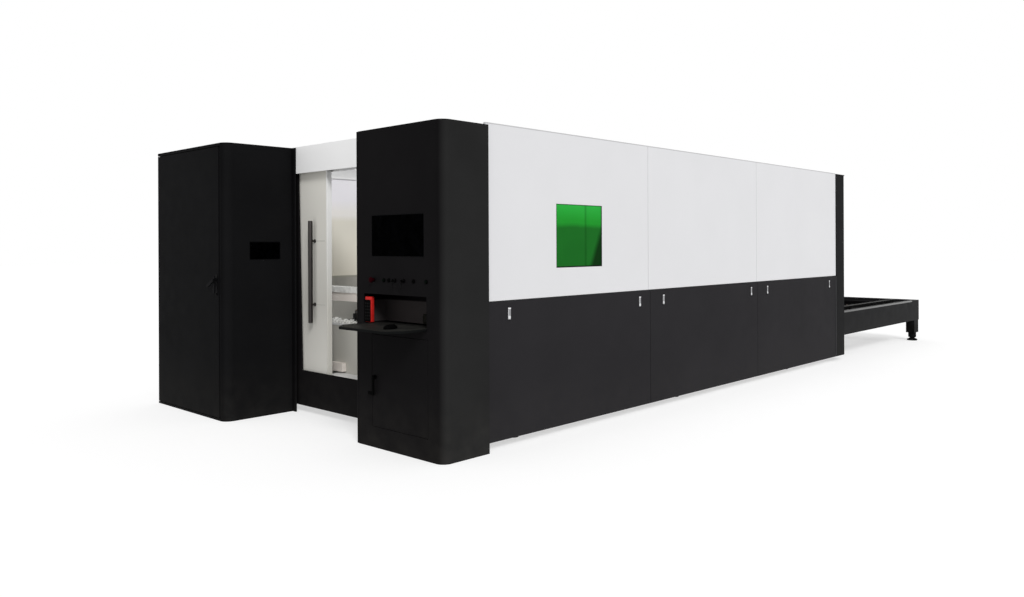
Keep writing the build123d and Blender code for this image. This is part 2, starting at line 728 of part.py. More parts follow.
def levelling_foot(x, y, top, pad=pad_radius, rim=pad_rim, stud=stud_radius, nut=nut_radius, height=nut_height):
    """A foot turned about its own axis, from its pad on the floor to the leg above it."""
    foot_plane = Plane(origin=(tower_x + x, side_y + y, 0), x_dir=(1, 0, 0), z_dir=(0, -1, 0))
    with BuildPart() as foot:
        with BuildSketch(foot_plane):
            with BuildLine():
                Polyline((0, 0), (pad, 0), (pad, rim), (stud + 8, rim + 12), (stud, rim + 16),
                         (stud, top - height), (nut, top - height), (nut, top), (0, top), close=True)
            make_face()
        revolve(axis=Axis((tower_x + x, side_y + y, 0), (0, 0, 1)))
    return foot.part


feet = []
for legs_y in (leg_y, across(leg_y)):
    feet.append(levelling_foot(sum(leg_x) / 2, sum(legs_y) / 2, leg_z[0], end_pad_radius, end_pad_rim,
                               end_stud_radius, sleeve_radius, sleeve_height))
for foot_y in (sum(inner_leg_y) / 2, wall_y + cabin_far - sum(inner_leg_y) / 2):
    feet.append(levelling_foot(6150, foot_y, leg_z[0]))
for x in (900, 3100, 5400):
    for beam in (near_beam, far_beam):
        feet.append(levelling_foot(x, sum(beam) / 2, skirt_z))
export_group("levelling_feet", feet)

# Pallets: a welded frame on flanged wheels, with saw-tooth slats standing across it
pallet_length = 3100
pallet_y = (track_y[1], across(track_y)[0])
side_tube = 60
side_height = 100
wheel_radius = 40
wheel_width = 40
wheel_gap = 15
wheel_inset = 250
slat_count = 25
tooth_count = 14
slat_sheet = 6
slat_base = 110
slat_top = 250
tooth_depth = 38
cross_count = 6
comb_inset = 10
comb_sheet = 6
comb_height = 80
comb_slot = 38
slot_room = 1
slat_step = (pallet_length - side_tube) / (slat_count - 1)


def comb_plate(start, base, y):
    """An upright plate along the pallet, slotted from above at every slat."""
    with BuildPart() as plate:
        bar((start, start + pallet_length), y, (base, base + comb_height))
        for slat_number in range(slat_count):
            x = start + side_tube / 2 + slat_number * slat_step
            slot_x = grown((x, x), slat_sheet / 2 + slot_room)
            bar(slot_x, y, (base + comb_slot, base + comb_height), mode=Mode.SUBTRACT)
    return plate.part


def pallet_frame(start, tread):
    """Side members with their wheels, the cross members that the slats stand on, and the comb plates."""
    solids = []
    low = tread + 30
    axle_z = tread + wheel_radius
    for flip in (False, True):
        own_y = (pallet_y[0], pallet_y[0] + side_tube)
        wheel_y = (pallet_y[0] - wheel_gap - wheel_width, pallet_y[0] - wheel_gap)
        outer = wheel_y[1]
        with BuildPart() as long_side:
            tube_limits = across(own_y) if flip else own_y
            bar((start, start + pallet_length), tube_limits, (low, low + side_height))
            for step in range(3):
                x = start + wheel_inset + step * (pallet_length - 2 * wheel_inset) / 2
                wheel_limits = across(wheel_y) if flip else wheel_y
                with BuildSketch(side.offset(-wheel_limits[0])):
                    with Locations((x, axle_z)):
                        Circle(wheel_radius)
                extrude(amount=-wheel_width)
                stub_y = (outer, own_y[0])
                stub_limits = across(stub_y) if flip else stub_y
                with BuildSketch(side.offset(-stub_limits[0])):
                    with Locations((x, axle_z)):
                        Circle(15)
                extrude(amount=-(stub_y[1] - stub_y[0]))
        solids.append(long_side.part)
    inner_y = (pallet_y[0] + side_tube, pallet_y[1] - side_tube)
    for step in range(cross_count):
        x = start + step * (pallet_length - side_tube) / (cross_count - 1)
        solids.append(member((x, x + side_tube), inner_y, (low + 10, tread + slat_base)))
    near_comb = (inner_y[0] + comb_inset, inner_y[0] + comb_inset + comb_sheet)
    for comb_y in (near_comb, across(near_comb)):
        solids.append(comb_plate(start, tread + slat_base, comb_y))
    return solids


def slat_row(start, tread):
    """Saw-tooth slats, each one plate cut to a comb of teeth and notched over the comb plates."""
    inner_y = (pallet_y[0] + side_tube, pallet_y[1] - side_tube)
    pitch = (inner_y[1] - inner_y[0]) / tooth_count
    base = tread + slat_base
    top = tread + slat_top
    near_notch = grown((inner_y[0] + comb_inset, inner_y[0] + comb_inset + comb_sheet), slot_room)
    points = [(inner_y[0], base)]
    for notch in (near_notch, across(near_notch)):
        points.append((notch[0], base))
        points.append((notch[0], base + comb_slot + slot_room))
        points.append((notch[1], base + comb_slot + slot_room))
        points.append((notch[1], base))
    points.append((inner_y[1], base))
    points.append((inner_y[1], top - tooth_depth))
    for tooth in range(tooth_count, 0, -1):
        middle = inner_y[0] + (tooth - 0.5) * pitch
        points.append((middle, top))
        points.append((middle - pitch / 2, top - tooth_depth))
    solids = []
    for slat_number in range(slat_count):
        x = start + side_tube / 2 + slat_number * slat_step
        with BuildPart() as slat:
            with BuildSketch(face.offset(x - slat_sheet / 2)):
                with BuildLine():
                    Polyline(*points, close=True)
                make_face()
            extrude(amount=slat_sheet)
        solids.append(slat.part)
    return solids


upper_start = 1100
lower_start = 6050
export_group("upper_pallet_frame", pallet_frame(upper_start, upper_tread))
export_group("upper_slats", slat_row(upper_start, upper_tread))
export_group("lower_pallet_frame", pallet_frame(lower_start, lower_tread))
export_group("lower_slats", slat_row(lower_start, lower_tread))
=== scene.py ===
"""The looks of a fiber laser cutting machine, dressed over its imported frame."""
import math

import bmesh
import bpy
from mathutils import Matrix, Vector


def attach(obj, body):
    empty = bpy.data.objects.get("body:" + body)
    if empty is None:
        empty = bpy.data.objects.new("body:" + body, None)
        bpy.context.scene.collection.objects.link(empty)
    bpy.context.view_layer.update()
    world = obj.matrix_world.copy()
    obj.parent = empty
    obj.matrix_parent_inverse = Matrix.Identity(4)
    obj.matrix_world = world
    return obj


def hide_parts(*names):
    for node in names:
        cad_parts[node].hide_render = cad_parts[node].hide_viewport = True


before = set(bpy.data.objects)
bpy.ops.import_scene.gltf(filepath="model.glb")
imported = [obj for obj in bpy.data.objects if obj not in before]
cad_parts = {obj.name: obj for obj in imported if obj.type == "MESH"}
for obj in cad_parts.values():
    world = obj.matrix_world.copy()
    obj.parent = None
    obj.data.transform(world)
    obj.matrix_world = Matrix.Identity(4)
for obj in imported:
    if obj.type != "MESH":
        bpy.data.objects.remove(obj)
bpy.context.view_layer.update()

# Studio
# A plain white floor under an even sky, with one wide soft lamp from the operator's side.
# The camera stands at eye height off the corner of the console tower.
scene = bpy.context.scene
scene.view_settings.view_transform = "Standard"


def linked(name, data):
    """An object in the scene with the data it shows."""
    obj = bpy.data.objects.new(name, data)
    scene.collection.objects.link(obj)
    return obj


focal_pixels, image_width, image_height = 824.79, 1024, 597
horizon_row = 244.449
heading, roll = math.radians(46.5129), math.radians(-0.23928)
ahead = Vector((math.sin(heading), math.cos(heading), 0))
right = Vector((math.cos(heading), -math.sin(heading), 0))
up = right.cross(ahead)
camera_right = math.cos(roll) * right + math.sin(roll) * up
camera_up = math.cos(roll) * up - math.sin(roll) * right
lens = bpy.data.cameras.new("camera")
lens.sensor_width = 36
lens.lens = focal_pixels / image_width * lens.sensor_width
lens.shift_y = (horizon_row - image_height / 2) / image_width
lens.clip_end = 200
camera = linked("camera", lens)
camera.matrix_world = Matrix((camera_right, camera_up, -ahead)).transposed().to_4x4()
camera.location = (-8.0765, -5.7531, 1.43)
scene.camera = camera


def join(source, target):
    """Links one node's socket to another's in the tree that holds them."""
    source.id_data.links.new(source, target)


def tone(red, green, blue):
    """A colour read off a screen, from 0 to 255, as the linear colour that a paint holds."""
    return (*(((c / 255 + 0.055) / 1.055) ** 2.4 if c > 10 else c / 3295 for c in (red, green, blue)), 1)


def wire(tree, kind, inputs, **settings):
    """Adds a node. Each input takes an output, a plain value or a screen tone. Gives the node's live outputs."""
    node = tree.nodes.new(kind)
    for name, value in settings.items():
        setattr(node, name, value)
    for key, value in inputs.items():
        socket = node.inputs[key] if isinstance(key, int) else next(
            s for s in node.inputs if s.enabled and s.name == key)
        if isinstance(value, bpy.types.NodeSocket):
            join(value, socket)
        else:
            screen_tone = socket.type == "RGBA" and len(value) == 3
            socket.default_value = tone(*value) if screen_tone else value
    return {s.name: s for s in node.outputs if s.enabled}


def sum_of(operation, a, b):
    """One step of arithmetic between two outputs, or an output and a number."""
    tree = (a if isinstance(a, bpy.types.NodeSocket) else b).id_data
    return wire(tree, "ShaderNodeMath", {0: a, 1: b}, operation=operation)["Value"]


def seen_directly(tree):
    """1 for what the eye sees, straight, in a gloss or through glass, and 0 for what lights the object."""
    path = wire(tree, "ShaderNodeLightPath", {})
    seen = sum_of("MAXIMUM", path["Is Camera Ray"], path["Is Glossy Ray"])
    return sum_of("MAXIMUM", seen, path["Is Transmission Ray"])


def emptied(owner):
    """The node tree of a world or a material, with no node left in it."""
    owner.use_nodes = True
    owner.node_tree.nodes.clear()
    return owner.node_tree


sky_light = 0.6
scene.world = bpy.data.worlds.new("studio")
sky = emptied(scene.world)
brightness = wire(sky, "ShaderNodeMix", {"Factor": seen_directly(sky), "A": sky_light, "B": 1})["Result"]
glow = wire(sky, "ShaderNodeBackground", {"Color": (1, 1, 1, 1), "Strength": brightness})["Background"]
wire(sky, "ShaderNodeOutputWorld", {"Surface": glow})

lamp = bpy.data.lights.new("soft_lamp", "SUN")
lamp.energy = 1.72
lamp.angle = math.radians(18)
lamp_object = linked("soft_lamp", lamp)
toward_lamp = Vector((-0.42, -0.68, 0.6))
lamp_object.rotation_mode = "QUATERNION"
lamp_object.rotation_quaternion = toward_lamp.to_track_quat("Z", "Y")

floor_paint = bpy.data.materials.new("studio_floor")
paint = emptied(floor_paint)
bounced = wire(paint, "ShaderNodeBsdfDiffuse", {"Color": (0.78, 0.78, 0.78, 1)})["BSDF"]
shown = wire(paint, "ShaderNodeBsdfDiffuse", {"Color": (0.52, 0.52, 0.52, 1)})["BSDF"]
lift = wire(paint, "ShaderNodeEmission", {"Strength": 0.56})["Emission"]
both = wire(paint, "ShaderNodeAddShader", {0: shown, 1: lift})["Shader"]
choice = wire(paint, "ShaderNodeMixShader", {0: seen_directly(paint), 1: bounced, 2: both})["Shader"]
wire(paint, "ShaderNodeOutputMaterial", {"Surface": choice})
half_floor = 60
floor_mesh = bpy.data.meshes.new("studio_floor")
corners = [(half_floor * a, half_floor * b, 0) for a, b in ((-1, -1), (1, -1), (1, 1), (-1, 1))]
floor_mesh.from_pydata(corners, [], [(0, 1, 2, 3)])
floor_mesh.materials.append(floor_paint)
studio_floor = linked("studio_floor", floor_mesh)

# Console tower
# A tall cabinet folded from 2 mm steel sheet and powder coated black, with the display set flush behind its face.
# Its sheet is folded over a small radius, and the front corner is rolled wide.

def point(tree):
    """Where a point lies on the machine, in metres."""
    return tree.nodes.new("ShaderNodeTexCoord").outputs["Object"]


def split(vector):
    """A vector's X, Y and Z."""
    return wire(vector.id_data, "ShaderNodeSeparateXYZ", {"Vector": vector})


def noise(tree, scale, detail, **inputs):
    """A cloudy value from 0 to 1, fixed to the machine."""
    values = {"Vector": point(tree), "Scale": scale, "Detail": detail, **inputs}
    return wire(tree, "ShaderNodeTexNoise", values)["Fac"]


def scaled(colour, factor):
    """A colour made darker or lighter."""
    return wire(factor.id_data, "ShaderNodeVectorMath", {0: colour, 3: factor}, operation="SCALE")["Vector"]


def ramp(value, low, high, start=0, end=1):
    """Spreads the values between low and high over start to end, and holds them there."""
    limits = {"From Min": low, "From Max": high, "To Min": start, "To Max": end}
    return wire(value.id_data, "ShaderNodeMapRange", {"Value": value, **limits})["Result"]


def blended(amount, first, second):
    """A colour between two, by a mask."""
    return wire(amount.id_data, "ShaderNodeMix", {"Factor": amount, 6: first, 7: second}, data_type="RGBA")["Result"]


def surface_group(name, *inputs, outputs=(("Colour", "Color"), ("Roughness", "Float"), ("Height", "Float"))):
    """An empty shader node group with named sockets, and its two ends. A surface takes a colour and a roughness."""
    tree = bpy.data.node_groups.new(name, "ShaderNodeTree")
    if len(outputs) > 1:
        inputs = (("Colour", "Color", (0.5, 0.5, 0.5, 1)), ("Roughness", "Float", 0.5), *inputs)
    for label, kind, value in inputs:
        socket = tree.interface.new_socket(label, in_out="INPUT", socket_type="NodeSocket" + kind)
        socket.default_value = value
    for label, kind in outputs:
        tree.interface.new_socket(label, in_out="OUTPUT", socket_type="NodeSocket" + kind)
    return tree, tree.nodes.new("NodeGroupInput").outputs, tree.nodes.new("NodeGroupOutput").inputs


# Baked powder coat: slight unevenness, a fine peel, and dust that settles low down and on ledges
powder, given, made = surface_group("powder_coat", ("Unevenness", "Float", 0.05), ("Dust", "Float", 0.1))
cloud = noise(powder, 9, 6)
swing = sum_of("MULTIPLY", ramp(noise(powder, 1.7, 3), 0.3, 0.7, -1, 1), given["Unevenness"])
shaded = scaled(given["Colour"], sum_of("ADD", swing, 1))
height = split(point(powder))["Z"]
facing = split(powder.nodes.new("ShaderNodeNewGeometry").outputs["Normal"])["Z"]
ledges = sum_of("MAXIMUM", ramp(height, 0, 0.5, 1, 0), ramp(facing, 0.7, 1))
settled = sum_of("MULTIPLY", sum_of("MULTIPLY", ledges, ramp(cloud, 0.2, 0.9)), given["Dust"])
join(blended(settled, shaded, (150, 146, 138)), made["Colour"])
duller = sum_of("ADD", given["Roughness"], ramp(cloud, 0.3, 0.7, -0.04, 0.04))
join(sum_of("ADD", duller, sum_of("MULTIPLY", settled, 0.5)), made["Roughness"])
join(noise(powder, 260, 1), made["Height"])

# Rubbed edges: a broken line along the outer edges, where hands, gloves and sheet metal rub the finish
rubbed, given, made = surface_group("rubbed_edges", ("Width", "Float", 0.002), ("Amount", "Float", 0.5),
                                    outputs=(("Mask", "Float"),))
flat_normal = rubbed.nodes.new("ShaderNodeNewGeometry").outputs["Normal"]
round_normal = wire(rubbed, "ShaderNodeBevel", {"Radius": given["Width"]}, samples=6)["Normal"]
agreement = wire(rubbed, "ShaderNodeVectorMath", {0: flat_normal, 1: round_normal}, operation="DOT_PRODUCT")["Value"]
broken = sum_of("MULTIPLY", ramp(agreement, 0.97, 0.8), ramp(noise(rubbed, 38, 5), 0.42, 0.58))
join(sum_of("MULTIPLY", broken, given["Amount"]), made["Mask"])

slot_of = {}


def group_node(tree, group, inputs):
    """Places one of the shared effects in a material, with the values it takes there."""
    return wire(tree, "ShaderNodeGroup", inputs, node_tree=group)


def new_finish(name, roughness, metallic=0, gloss=0.5, slot=None):
    """An empty material with its shader, whose constants are set on the shader itself, and the slot it goes by."""
    material = bpy.data.materials.new(name)
    slot_of[material.name] = slot
    material.use_nodes = True
    shader = material.node_tree.nodes["Principled BSDF"]
    shader.inputs["Roughness"].default_value = roughness
    shader.inputs["Metallic"].default_value = metallic
    shader.inputs["Specular IOR Level"].default_value = gloss
    return material, material.node_tree, shader.inputs


def surface(shader, skin, relief, depth, colour=None):
    """Feeds an effect's colour, roughness and height to the shader."""
    join(colour or skin["Colour"], shader["Base Color"])
    join(skin["Roughness"], shader["Roughness"])
    bump = wire(skin["Height"].id_data, "ShaderNodeBump",
                {"Height": skin["Height"], "Strength": relief, "Distance": depth})
    join(bump["Normal"], shader["Normal"])


def powder_coated(name, slot, colour, roughness, gloss, unevenness=0.05, dust=0.1, rub=0, under=None):
    """A painted metal finish. Rubbed edges show the metal or primer under it."""
    material, tree, shader = new_finish(name, roughness, 0, gloss, slot)
    coat = group_node(tree, powder, {"Colour": colour, "Roughness": roughness,
                                     "Unevenness": unevenness, "Dust": dust})
    shown = coat["Colour"]
    if rub:
        mask = group_node(tree, rubbed, {"Width": 0.0025, "Amount": rub})["Mask"]
        shown = blended(mask, shown, under)
    surface(shader, coat, 0.25, 0.0004, shown)
    return material


def banded(material, axis, colour, *bands, by_normal=False):
    """Recolours a coat along an axis. Each band fades to its own tone between its two limits."""
    tree = material.node_tree
    coat = next(n for n in tree.nodes if n.type == "GROUP")
    source = tree.nodes.new("ShaderNodeNewGeometry").outputs["Normal"] if by_normal else point(tree)
    value = split(source)[axis]
    for low, high, next_colour in bands:
        colour = blended(ramp(value, low, high), colour, next_colour)
    join(colour, coat.inputs["Colour"])
    return tree, coat.inputs["Colour"]


def at(x, y, z):
    """A point in millimetres from the tower's near bottom corner, in the machine's own frame."""
    return Vector((x / 1000 - 4.52, y / 1000 - 1.76, z / 1000))


shape = bmesh.new()
sharp_over = 35


def taken(name):
    """The shape drawn so far, as a mesh. The drawing starts anew."""
    mesh = bpy.data.meshes.new(name)
    shape.to_mesh(mesh)
    shape.clear()
    return mesh


def finished(name, mesh, material, body, replaced=(), crease=sharp_over, slot=None):
    """Makes a mesh a piece of the machine, with its finish and body, and hides the nodes it stands for."""
    slot = slot or slot_of[material.name]
    mesh.materials.clear()
    mesh.materials.append(material)
    if crease:
        mesh.shade_smooth()
        mesh.set_sharp_from_angle(angle=math.radians(crease))
    obj = linked(name, mesh)
    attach(obj, body)
    if replaced:
        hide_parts(*replaced)


def evaluated_mesh(obj):
    """The mesh that an object's modifiers leave. The object itself is taken away."""
    bpy.context.view_layer.update()
    depsgraph = bpy.context.evaluated_depsgraph_get()
    mesh = bpy.data.meshes.new_from_object(obj.evaluated_get(depsgraph))
    bpy.data.objects.remove(obj)
    return mesh


def folded(node, radius, material, body="machine", segments=2):
    """A copy of a node with its outer edges folded over a radius, which stands for the node."""
    shape.from_mesh(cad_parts[node].data)
    bmesh.ops.remove_doubles(shape, verts=shape.verts, dist=0.00001)
    mesh = taken(node + "_work")
    mesh.shade_smooth()
    mesh.set_sharp_from_angle(angle=math.radians(sharp_over))
    work = linked(node + "_work", mesh)
    fold = work.modifiers.new("fold", "BEVEL")
    fold.width = radius / 1000
    fold.segments = segments
    fold.limit_method = "ANGLE"
    fold.angle_limit = math.radians(40)
    fold.miter_outer = "MITER_ARC"
    flat = work.modifiers.new("flat", "WEIGHTED_NORMAL")
    flat.weight = 100
    flat.keep_sharp = True
    finished(node + "_folded", evaluated_mesh(work), material, body, (node,), None)


def dress(material, *nodes):
    """Gives carried-over nodes their finish."""
    for node in nodes:
        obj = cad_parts[node]
        obj.data.materials.clear()
        obj.data.materials.append(material)


def place(axis, u, v, w):
    """A point drawn across an axis at (u, v), and w along it."""
    return {"X": at(w, u, v), "Y": at(u, w, v), "Z": at(u, v, w)}[axis]


def block(x, y, z, radius=0, segments=2):
    """A solid between three pairs of limits, with its edges rounded over."""
    c = [shape.verts.new(at(a, b, d)) for a in x for b in y for d in z]
    sides = ((0, 1, 3, 2), (4, 6, 7, 5), (0, 4, 5, 1), (2, 3, 7, 6), (0, 2, 6, 4), (1, 5, 7, 3))
    edges = dict.fromkeys(e for side in sides for e in shape.faces.new([c[i] for i in side]).edges)
    if radius:
        bmesh.ops.bevel(shape, geom=list(edges), offset=radius / 1000, segments=segments, profile=0.5,
                        affect="EDGES", clamp_overlap=True)


def prism(outline, axis, limits, inner=None):
    """A solid of one outline drawn along an axis. An inner outline of as many points is left open."""
    loops = [[shape.verts.new(place(axis, u, v, w)) for u, v in outline] for w in limits]
    faces = []
    if inner:
        loops += [[shape.verts.new(place(axis, u, v, w)) for u, v in inner] for w in reversed(limits)]
        loops.append(loops[0])
    else:
        faces = [shape.faces.new(loops[0]), shape.faces.new(loops[1][::-1])]
    count = len(outline)
    for a, b in zip(loops, loops[1:]):
        faces += [shape.faces.new((a[i], a[(i + 1) % count], b[(i + 1) % count], b[i])) for i in range(count)]
    bmesh.ops.recalc_face_normals(shape, faces=faces)


def rounded(u, v, radius):
    """The outline of a rectangle with rounded corners."""
    points, steps = [], 5
    for turn, (cu, cv) in enumerate(((u[1], v[1]), (u[0], v[1]), (u[0], v[0]), (u[1], v[0]))):
        centre = (cu - radius if cu == u[1] else cu + radius, cv - radius if cv == v[1] else cv + radius)
        for step in range(steps + 1):
            angle = math.radians(90 * turn + 90 * step / steps)
            points.append((centre[0] + radius * math.cos(angle), centre[1] + radius * math.sin(angle)))
    return points


def lathe(profile, centre, axis=(0, 0, 1), steps=32):
    """A solid turned about an axis from radii and heights. A profile that isn't a ring is closed to the axis."""
    if profile[0] != profile[-1]:
        profile = [(0, h) for r, h in profile[:1] if r] + profile + [(0, h) for r, h in profile[-1:] if r]
    turn = Matrix.Translation(at(*centre)) @ Vector((0, 0, 1)).rotation_difference(Vector(axis)).to_matrix().to_4x4()
    rings = []
    for radius, height in profile:
        angles = [2 * math.pi * i / steps for i in range(steps if radius else 1)]
        points = [Vector((radius * math.cos(a), radius * math.sin(a), height)) / 1000 for a in angles]
        rings.append([shape.verts.new(turn @ spot) for spot in points])
    if profile[0] == profile[-1]:
        for vert in rings[-1]:
            shape.verts.remove(vert)
        rings[-1] = rings[0]
    faces = []
    for a, b in zip(rings, rings[1:]):
        for i in range(steps):
            ends = (a[i % len(a)], a[(i + 1) % len(a)], b[(i + 1) % len(b)], b[i % len(b)])
            faces.append(shape.faces.new(list(dict.fromkeys(ends))))
    bmesh.ops.recalc_face_normals(shape, faces=faces)


def piece(name, material, body="machine", replaced=(), crease=sharp_over):
    """Makes the drawn shape a piece of the machine."""
    finished(name, taken(name), material, body, replaced, crease)


tower_paint = powder_coated("tower_powder_coat", "tower_black", (19, 18, 19), 0.5, 0.012, 0.12, 0.05)
# Painted light: the coat turns lighter on the near side behind the rolled corner, where that side catches more light
# than the face.
banded(tower_paint, "Y", (19, 18, 19), (-1.715, -1.755, (38, 38, 38)))
folded("tower_shell", 2.5, tower_paint)
folded("tower_door", 1.2, tower_paint, "tower_door_body")
block((1, 298), (912, 931), (1, 2249), 2)
piece("tower_side_skin", tower_paint)

display_glass, tree, shader = new_finish("display_glass", 0.08, 0, 0.002)
smears = noise(tree, 14, 6, Distortion=1.2)
join(ramp(smears, 0.4, 0.7, 0.06, 0.22), shader["Roughness"])
join(blended(ramp(smears, 0.4, 0.8), (0, 0, 0), (3, 3, 4)), shader["Base Color"])
dress(display_glass, "tower_screen", "cabinet_display")

# Shared finishes for moulded plastic: a fine grain and slight handling marks
moulded, given, made = surface_group("moulded_grain", ("Grain", "Float", 900))
pebbles = wire(moulded, "ShaderNodeTexVoronoi", {"Vector": point(moulded), "Scale": given["Grain"]})["Distance"]
handled = noise(moulded, 30, 4)
join(scaled(given["Colour"], ramp(handled, 0.3, 0.7, 0.88, 1.1)), made["Colour"])
join(sum_of("ADD", given["Roughness"], ramp(handled, 0.3, 0.7, -0.06, 0.06)), made["Roughness"])
join(pebbles, made["Height"])


def plastic(name, slot, colour, roughness, gloss, grain=900, relief=0.15):
    """A moulded plastic or rubber."""
    material, tree, shader = new_finish(name, roughness, 0, gloss, slot)
    skin = group_node(tree, moulded, {"Colour": colour, "Roughness": roughness, "Grain": grain})
    surface(shader, skin, relief, 0.0003)
    return material


black_plastic = plastic("black_plastic", "black_plastic", (13, 13, 14), 0.5, 0.02)
prism(rounded((181.5, 754.5), (1346.5, 1642.5), 3), "X", (0.4, 2), rounded((187, 749), (1352, 1637), 2))
prism(rounded((-99.5, 187.5), (1310.5, 1462.5), 3), "Y", (2280.4, 2282), rounded((-94, 182), (1316, 1457), 2))
piece("display_gaskets", black_plastic)

# One shape at many places: points carry copies of a unit, which may differ a little in size
repeat = bpy.data.node_groups.new("repeat_at_places", "GeometryNodeTree")
repeat.is_modifier = True
repeat.interface.new_socket("Geometry", in_out="INPUT", socket_type="NodeSocketGeometry")
for label, kind in (("Unit", "Object"), ("Variation", "Float"), ("Finish", "Material")):
    repeat.interface.new_socket(label, in_out="INPUT", socket_type="NodeSocket" + kind)
repeat.interface.new_socket("Geometry", in_out="OUTPUT", socket_type="NodeSocketGeometry")
given = repeat.nodes.new("NodeGroupInput").outputs
spots = wire(repeat, "GeometryNodeMeshToPoints", {"Mesh": given["Geometry"]})["Points"]
unit = wire(repeat, "GeometryNodeObjectInfo", {"Object": given["Unit"]})["Geometry"]
size = wire(repeat, "FunctionNodeRandomValue", {"Min": sum_of("SUBTRACT", 1, given["Variation"]),
            "Max": sum_of("ADD", 1, given["Variation"]), "Seed": 7}, data_type="FLOAT")["Value"]
copies = wire(repeat, "GeometryNodeInstanceOnPoints",
              {"Points": spots, "Instance": unit, "Scale": size})["Instances"]
solid = wire(repeat, "GeometryNodeRealizeInstances", {"Geometry": copies})["Geometry"]
done = wire(repeat, "GeometryNodeSetMaterial", {"Geometry": solid, "Material": given["Finish"]})["Geometry"]
join(done, repeat.nodes.new("NodeGroupOutput").inputs["Geometry"])


def repeated(name, places, material, body="machine", variation=0, crease=sharp_over, slot=None):
    """The shape drawn at the first of its places, set at every one of them as one piece."""
    bmesh.ops.translate(shape, verts=shape.verts, vec=-at(*places[0]))
    unit_object = linked(name + "_unit", taken(name + "_unit"))
    spot_mesh = bpy.data.meshes.new(name + "_places")
    spot_mesh.from_pydata([at(*spot) for spot in places], [], [])
    carrier = linked(name + "_places", spot_mesh)
    array = carrier.modifiers.new("repeat", "NODES")
    array.node_group = repeat
    values = {"Unit": unit_object, "Variation": variation, "Finish": material}
    for socket in repeat.interface.items_tree:
        if socket.in_out == "INPUT" and socket.name in values:
            array[socket.identifier] = values[socket.name]
    mesh = evaluated_mesh(carrier)
    bpy.data.objects.remove(unit_object)
    finished(name, mesh, material, body, (), crease, slot)


# Pressed louvres let the tower's warm air out on its hidden side, and bolts close its lifting holes
prism([(930, 236), (936, 226), (930, 224)], "X", (120, 280))
repeated("tower_louvres", [(200, 932, 230 + 18 * n) for n in range(14)]
         + [(200, 932, 1850 + 18 * n) for n in range(10)], tower_paint)
# The recess liner is painted lighter than the tower's black, painted light that lifts the recess's shade. A
# near-black band along its top is painted shade under the recess's top.
prism([(12, 161), (199.4, 161), (199.4, 844), (12, 844), (12, 842), (196, 842), (196, 163), (12, 163)], "Z",
      (879, 1084))
recess_light_and_shade_paint = powder_coated("recess_painted_light_and_shade_coat", "tower_black", (64, 60, 60), 0.5, 0.02, 0.1, 0.05)
banded(recess_light_and_shade_paint, "Z", (64, 60, 60), (1.028, 1.038, (4, 3, 4)))
piece("recess_liner", recess_light_and_shade_paint)
lathe([(14, 0), (14, 1.5), (10, 2), (9, 9), (7, 10)], (60, 90, 2250), steps=6)
repeated("tower_top_bolts", [(x, y, 2250) for x in (60, 364) for y in (90, 823)], black_plastic)

# Controls
# Moulded buttons and a mushroom stop button in dark turned collars, each nut-fixed in a 22 mm hole.
# Two key switches have keys left in them, and a spare hangs from each on a wire ring.
control_z = 1185
for y in (726, 611, 556, 290, 160, 490, 395):
    lathe([(11.2, 0), (11.2, 4.6), (12.2, 5.2), (14, 4.6), (15, 3.2), (15, 0), (11.2, 0)], (0, y, control_z),
          (-1, 0, 0), 30)
control_black = plastic("control_plastic", "black_plastic", (4, 4, 4), 0.6, 0.01, 1400, 0.05)
piece("collars_turned", control_black, replaced=("control_collars",))

stop_red = plastic("stop_red_plastic", "red_plastic", (34, 1, 6), 0.5, 0.01, 1400, 0.05)
lathe([(10.2, -32), (10.2, 19), (14, 20), (18.6, 22.5), (20, 25), (20, 30), (18.6, 33.5), (15, 36), (9, 37.4),
       (0, 37.8)], (0, 726, control_z), (-1, 0, 0), 40)
piece("stop_mushroom", stop_red, "e_stop", ("e_stop_button",))

button_green = plastic("green_plastic", "button_green", (4, 10, 6), 0.5, 0.01, 1400, 0.05)
for number, y in enumerate((611, 556, 290, 160), start=1):
    lathe([(10.2, -32), (10.2, 8.6), (9.6, 10.4), (8.4, 11), (7.2, 10.2), (5, 9.4), (0, 9)], (0, y, control_z),
          (-1, 0, 0))
    cap = button_green if number in (1, 4) else control_black
    piece(f"button_cap_{number}", cap, f"button_{number}", (f"push_button_{number}",))

# Shared finish for worked metal: streaks along one direction, and cloudy changes in colour and gloss
worked, given, made = surface_group("worked_metal", ("Streaks", "Vector", (8, 400, 400)),
                                    ("Contrast", "Float", 0.15))
stretched = wire(worked, "ShaderNodeVectorMath", {0: point(worked), 1: given["Streaks"]}, operation="MULTIPLY")
lines = wire(worked, "ShaderNodeTexNoise", {"Vector": stretched["Vector"], "Scale": 1, "Detail": 3})["Fac"]
spread = sum_of("MULTIPLY", ramp(lines, 0.3, 0.7, -1, 1), given["Contrast"])
level = sum_of("ADD", sum_of("ADD", spread, 1), ramp(noise(worked, 6, 6), 0.3, 0.7, -0.08, 0.08))
join(scaled(given["Colour"], level), made["Colour"])
join(sum_of("ADD", given["Roughness"], ramp(lines, 0.3, 0.7, -0.07, 0.09)), made["Roughness"])
join(lines, made["Height"])


def metal(name, slot, colour, roughness, streaks=(8, 400, 400), contrast=0.15, relief=0.1):
    """A bare or plated metal with the streaks of its working."""
    material, tree, shader = new_finish(name, roughness, 1, slot=slot)
    skin = group_node(tree, worked, {"Colour": colour, "Roughness": roughness,
                                     "Streaks": streaks, "Contrast": contrast})
    surface(shader, skin, relief, 0.0002)
    return material


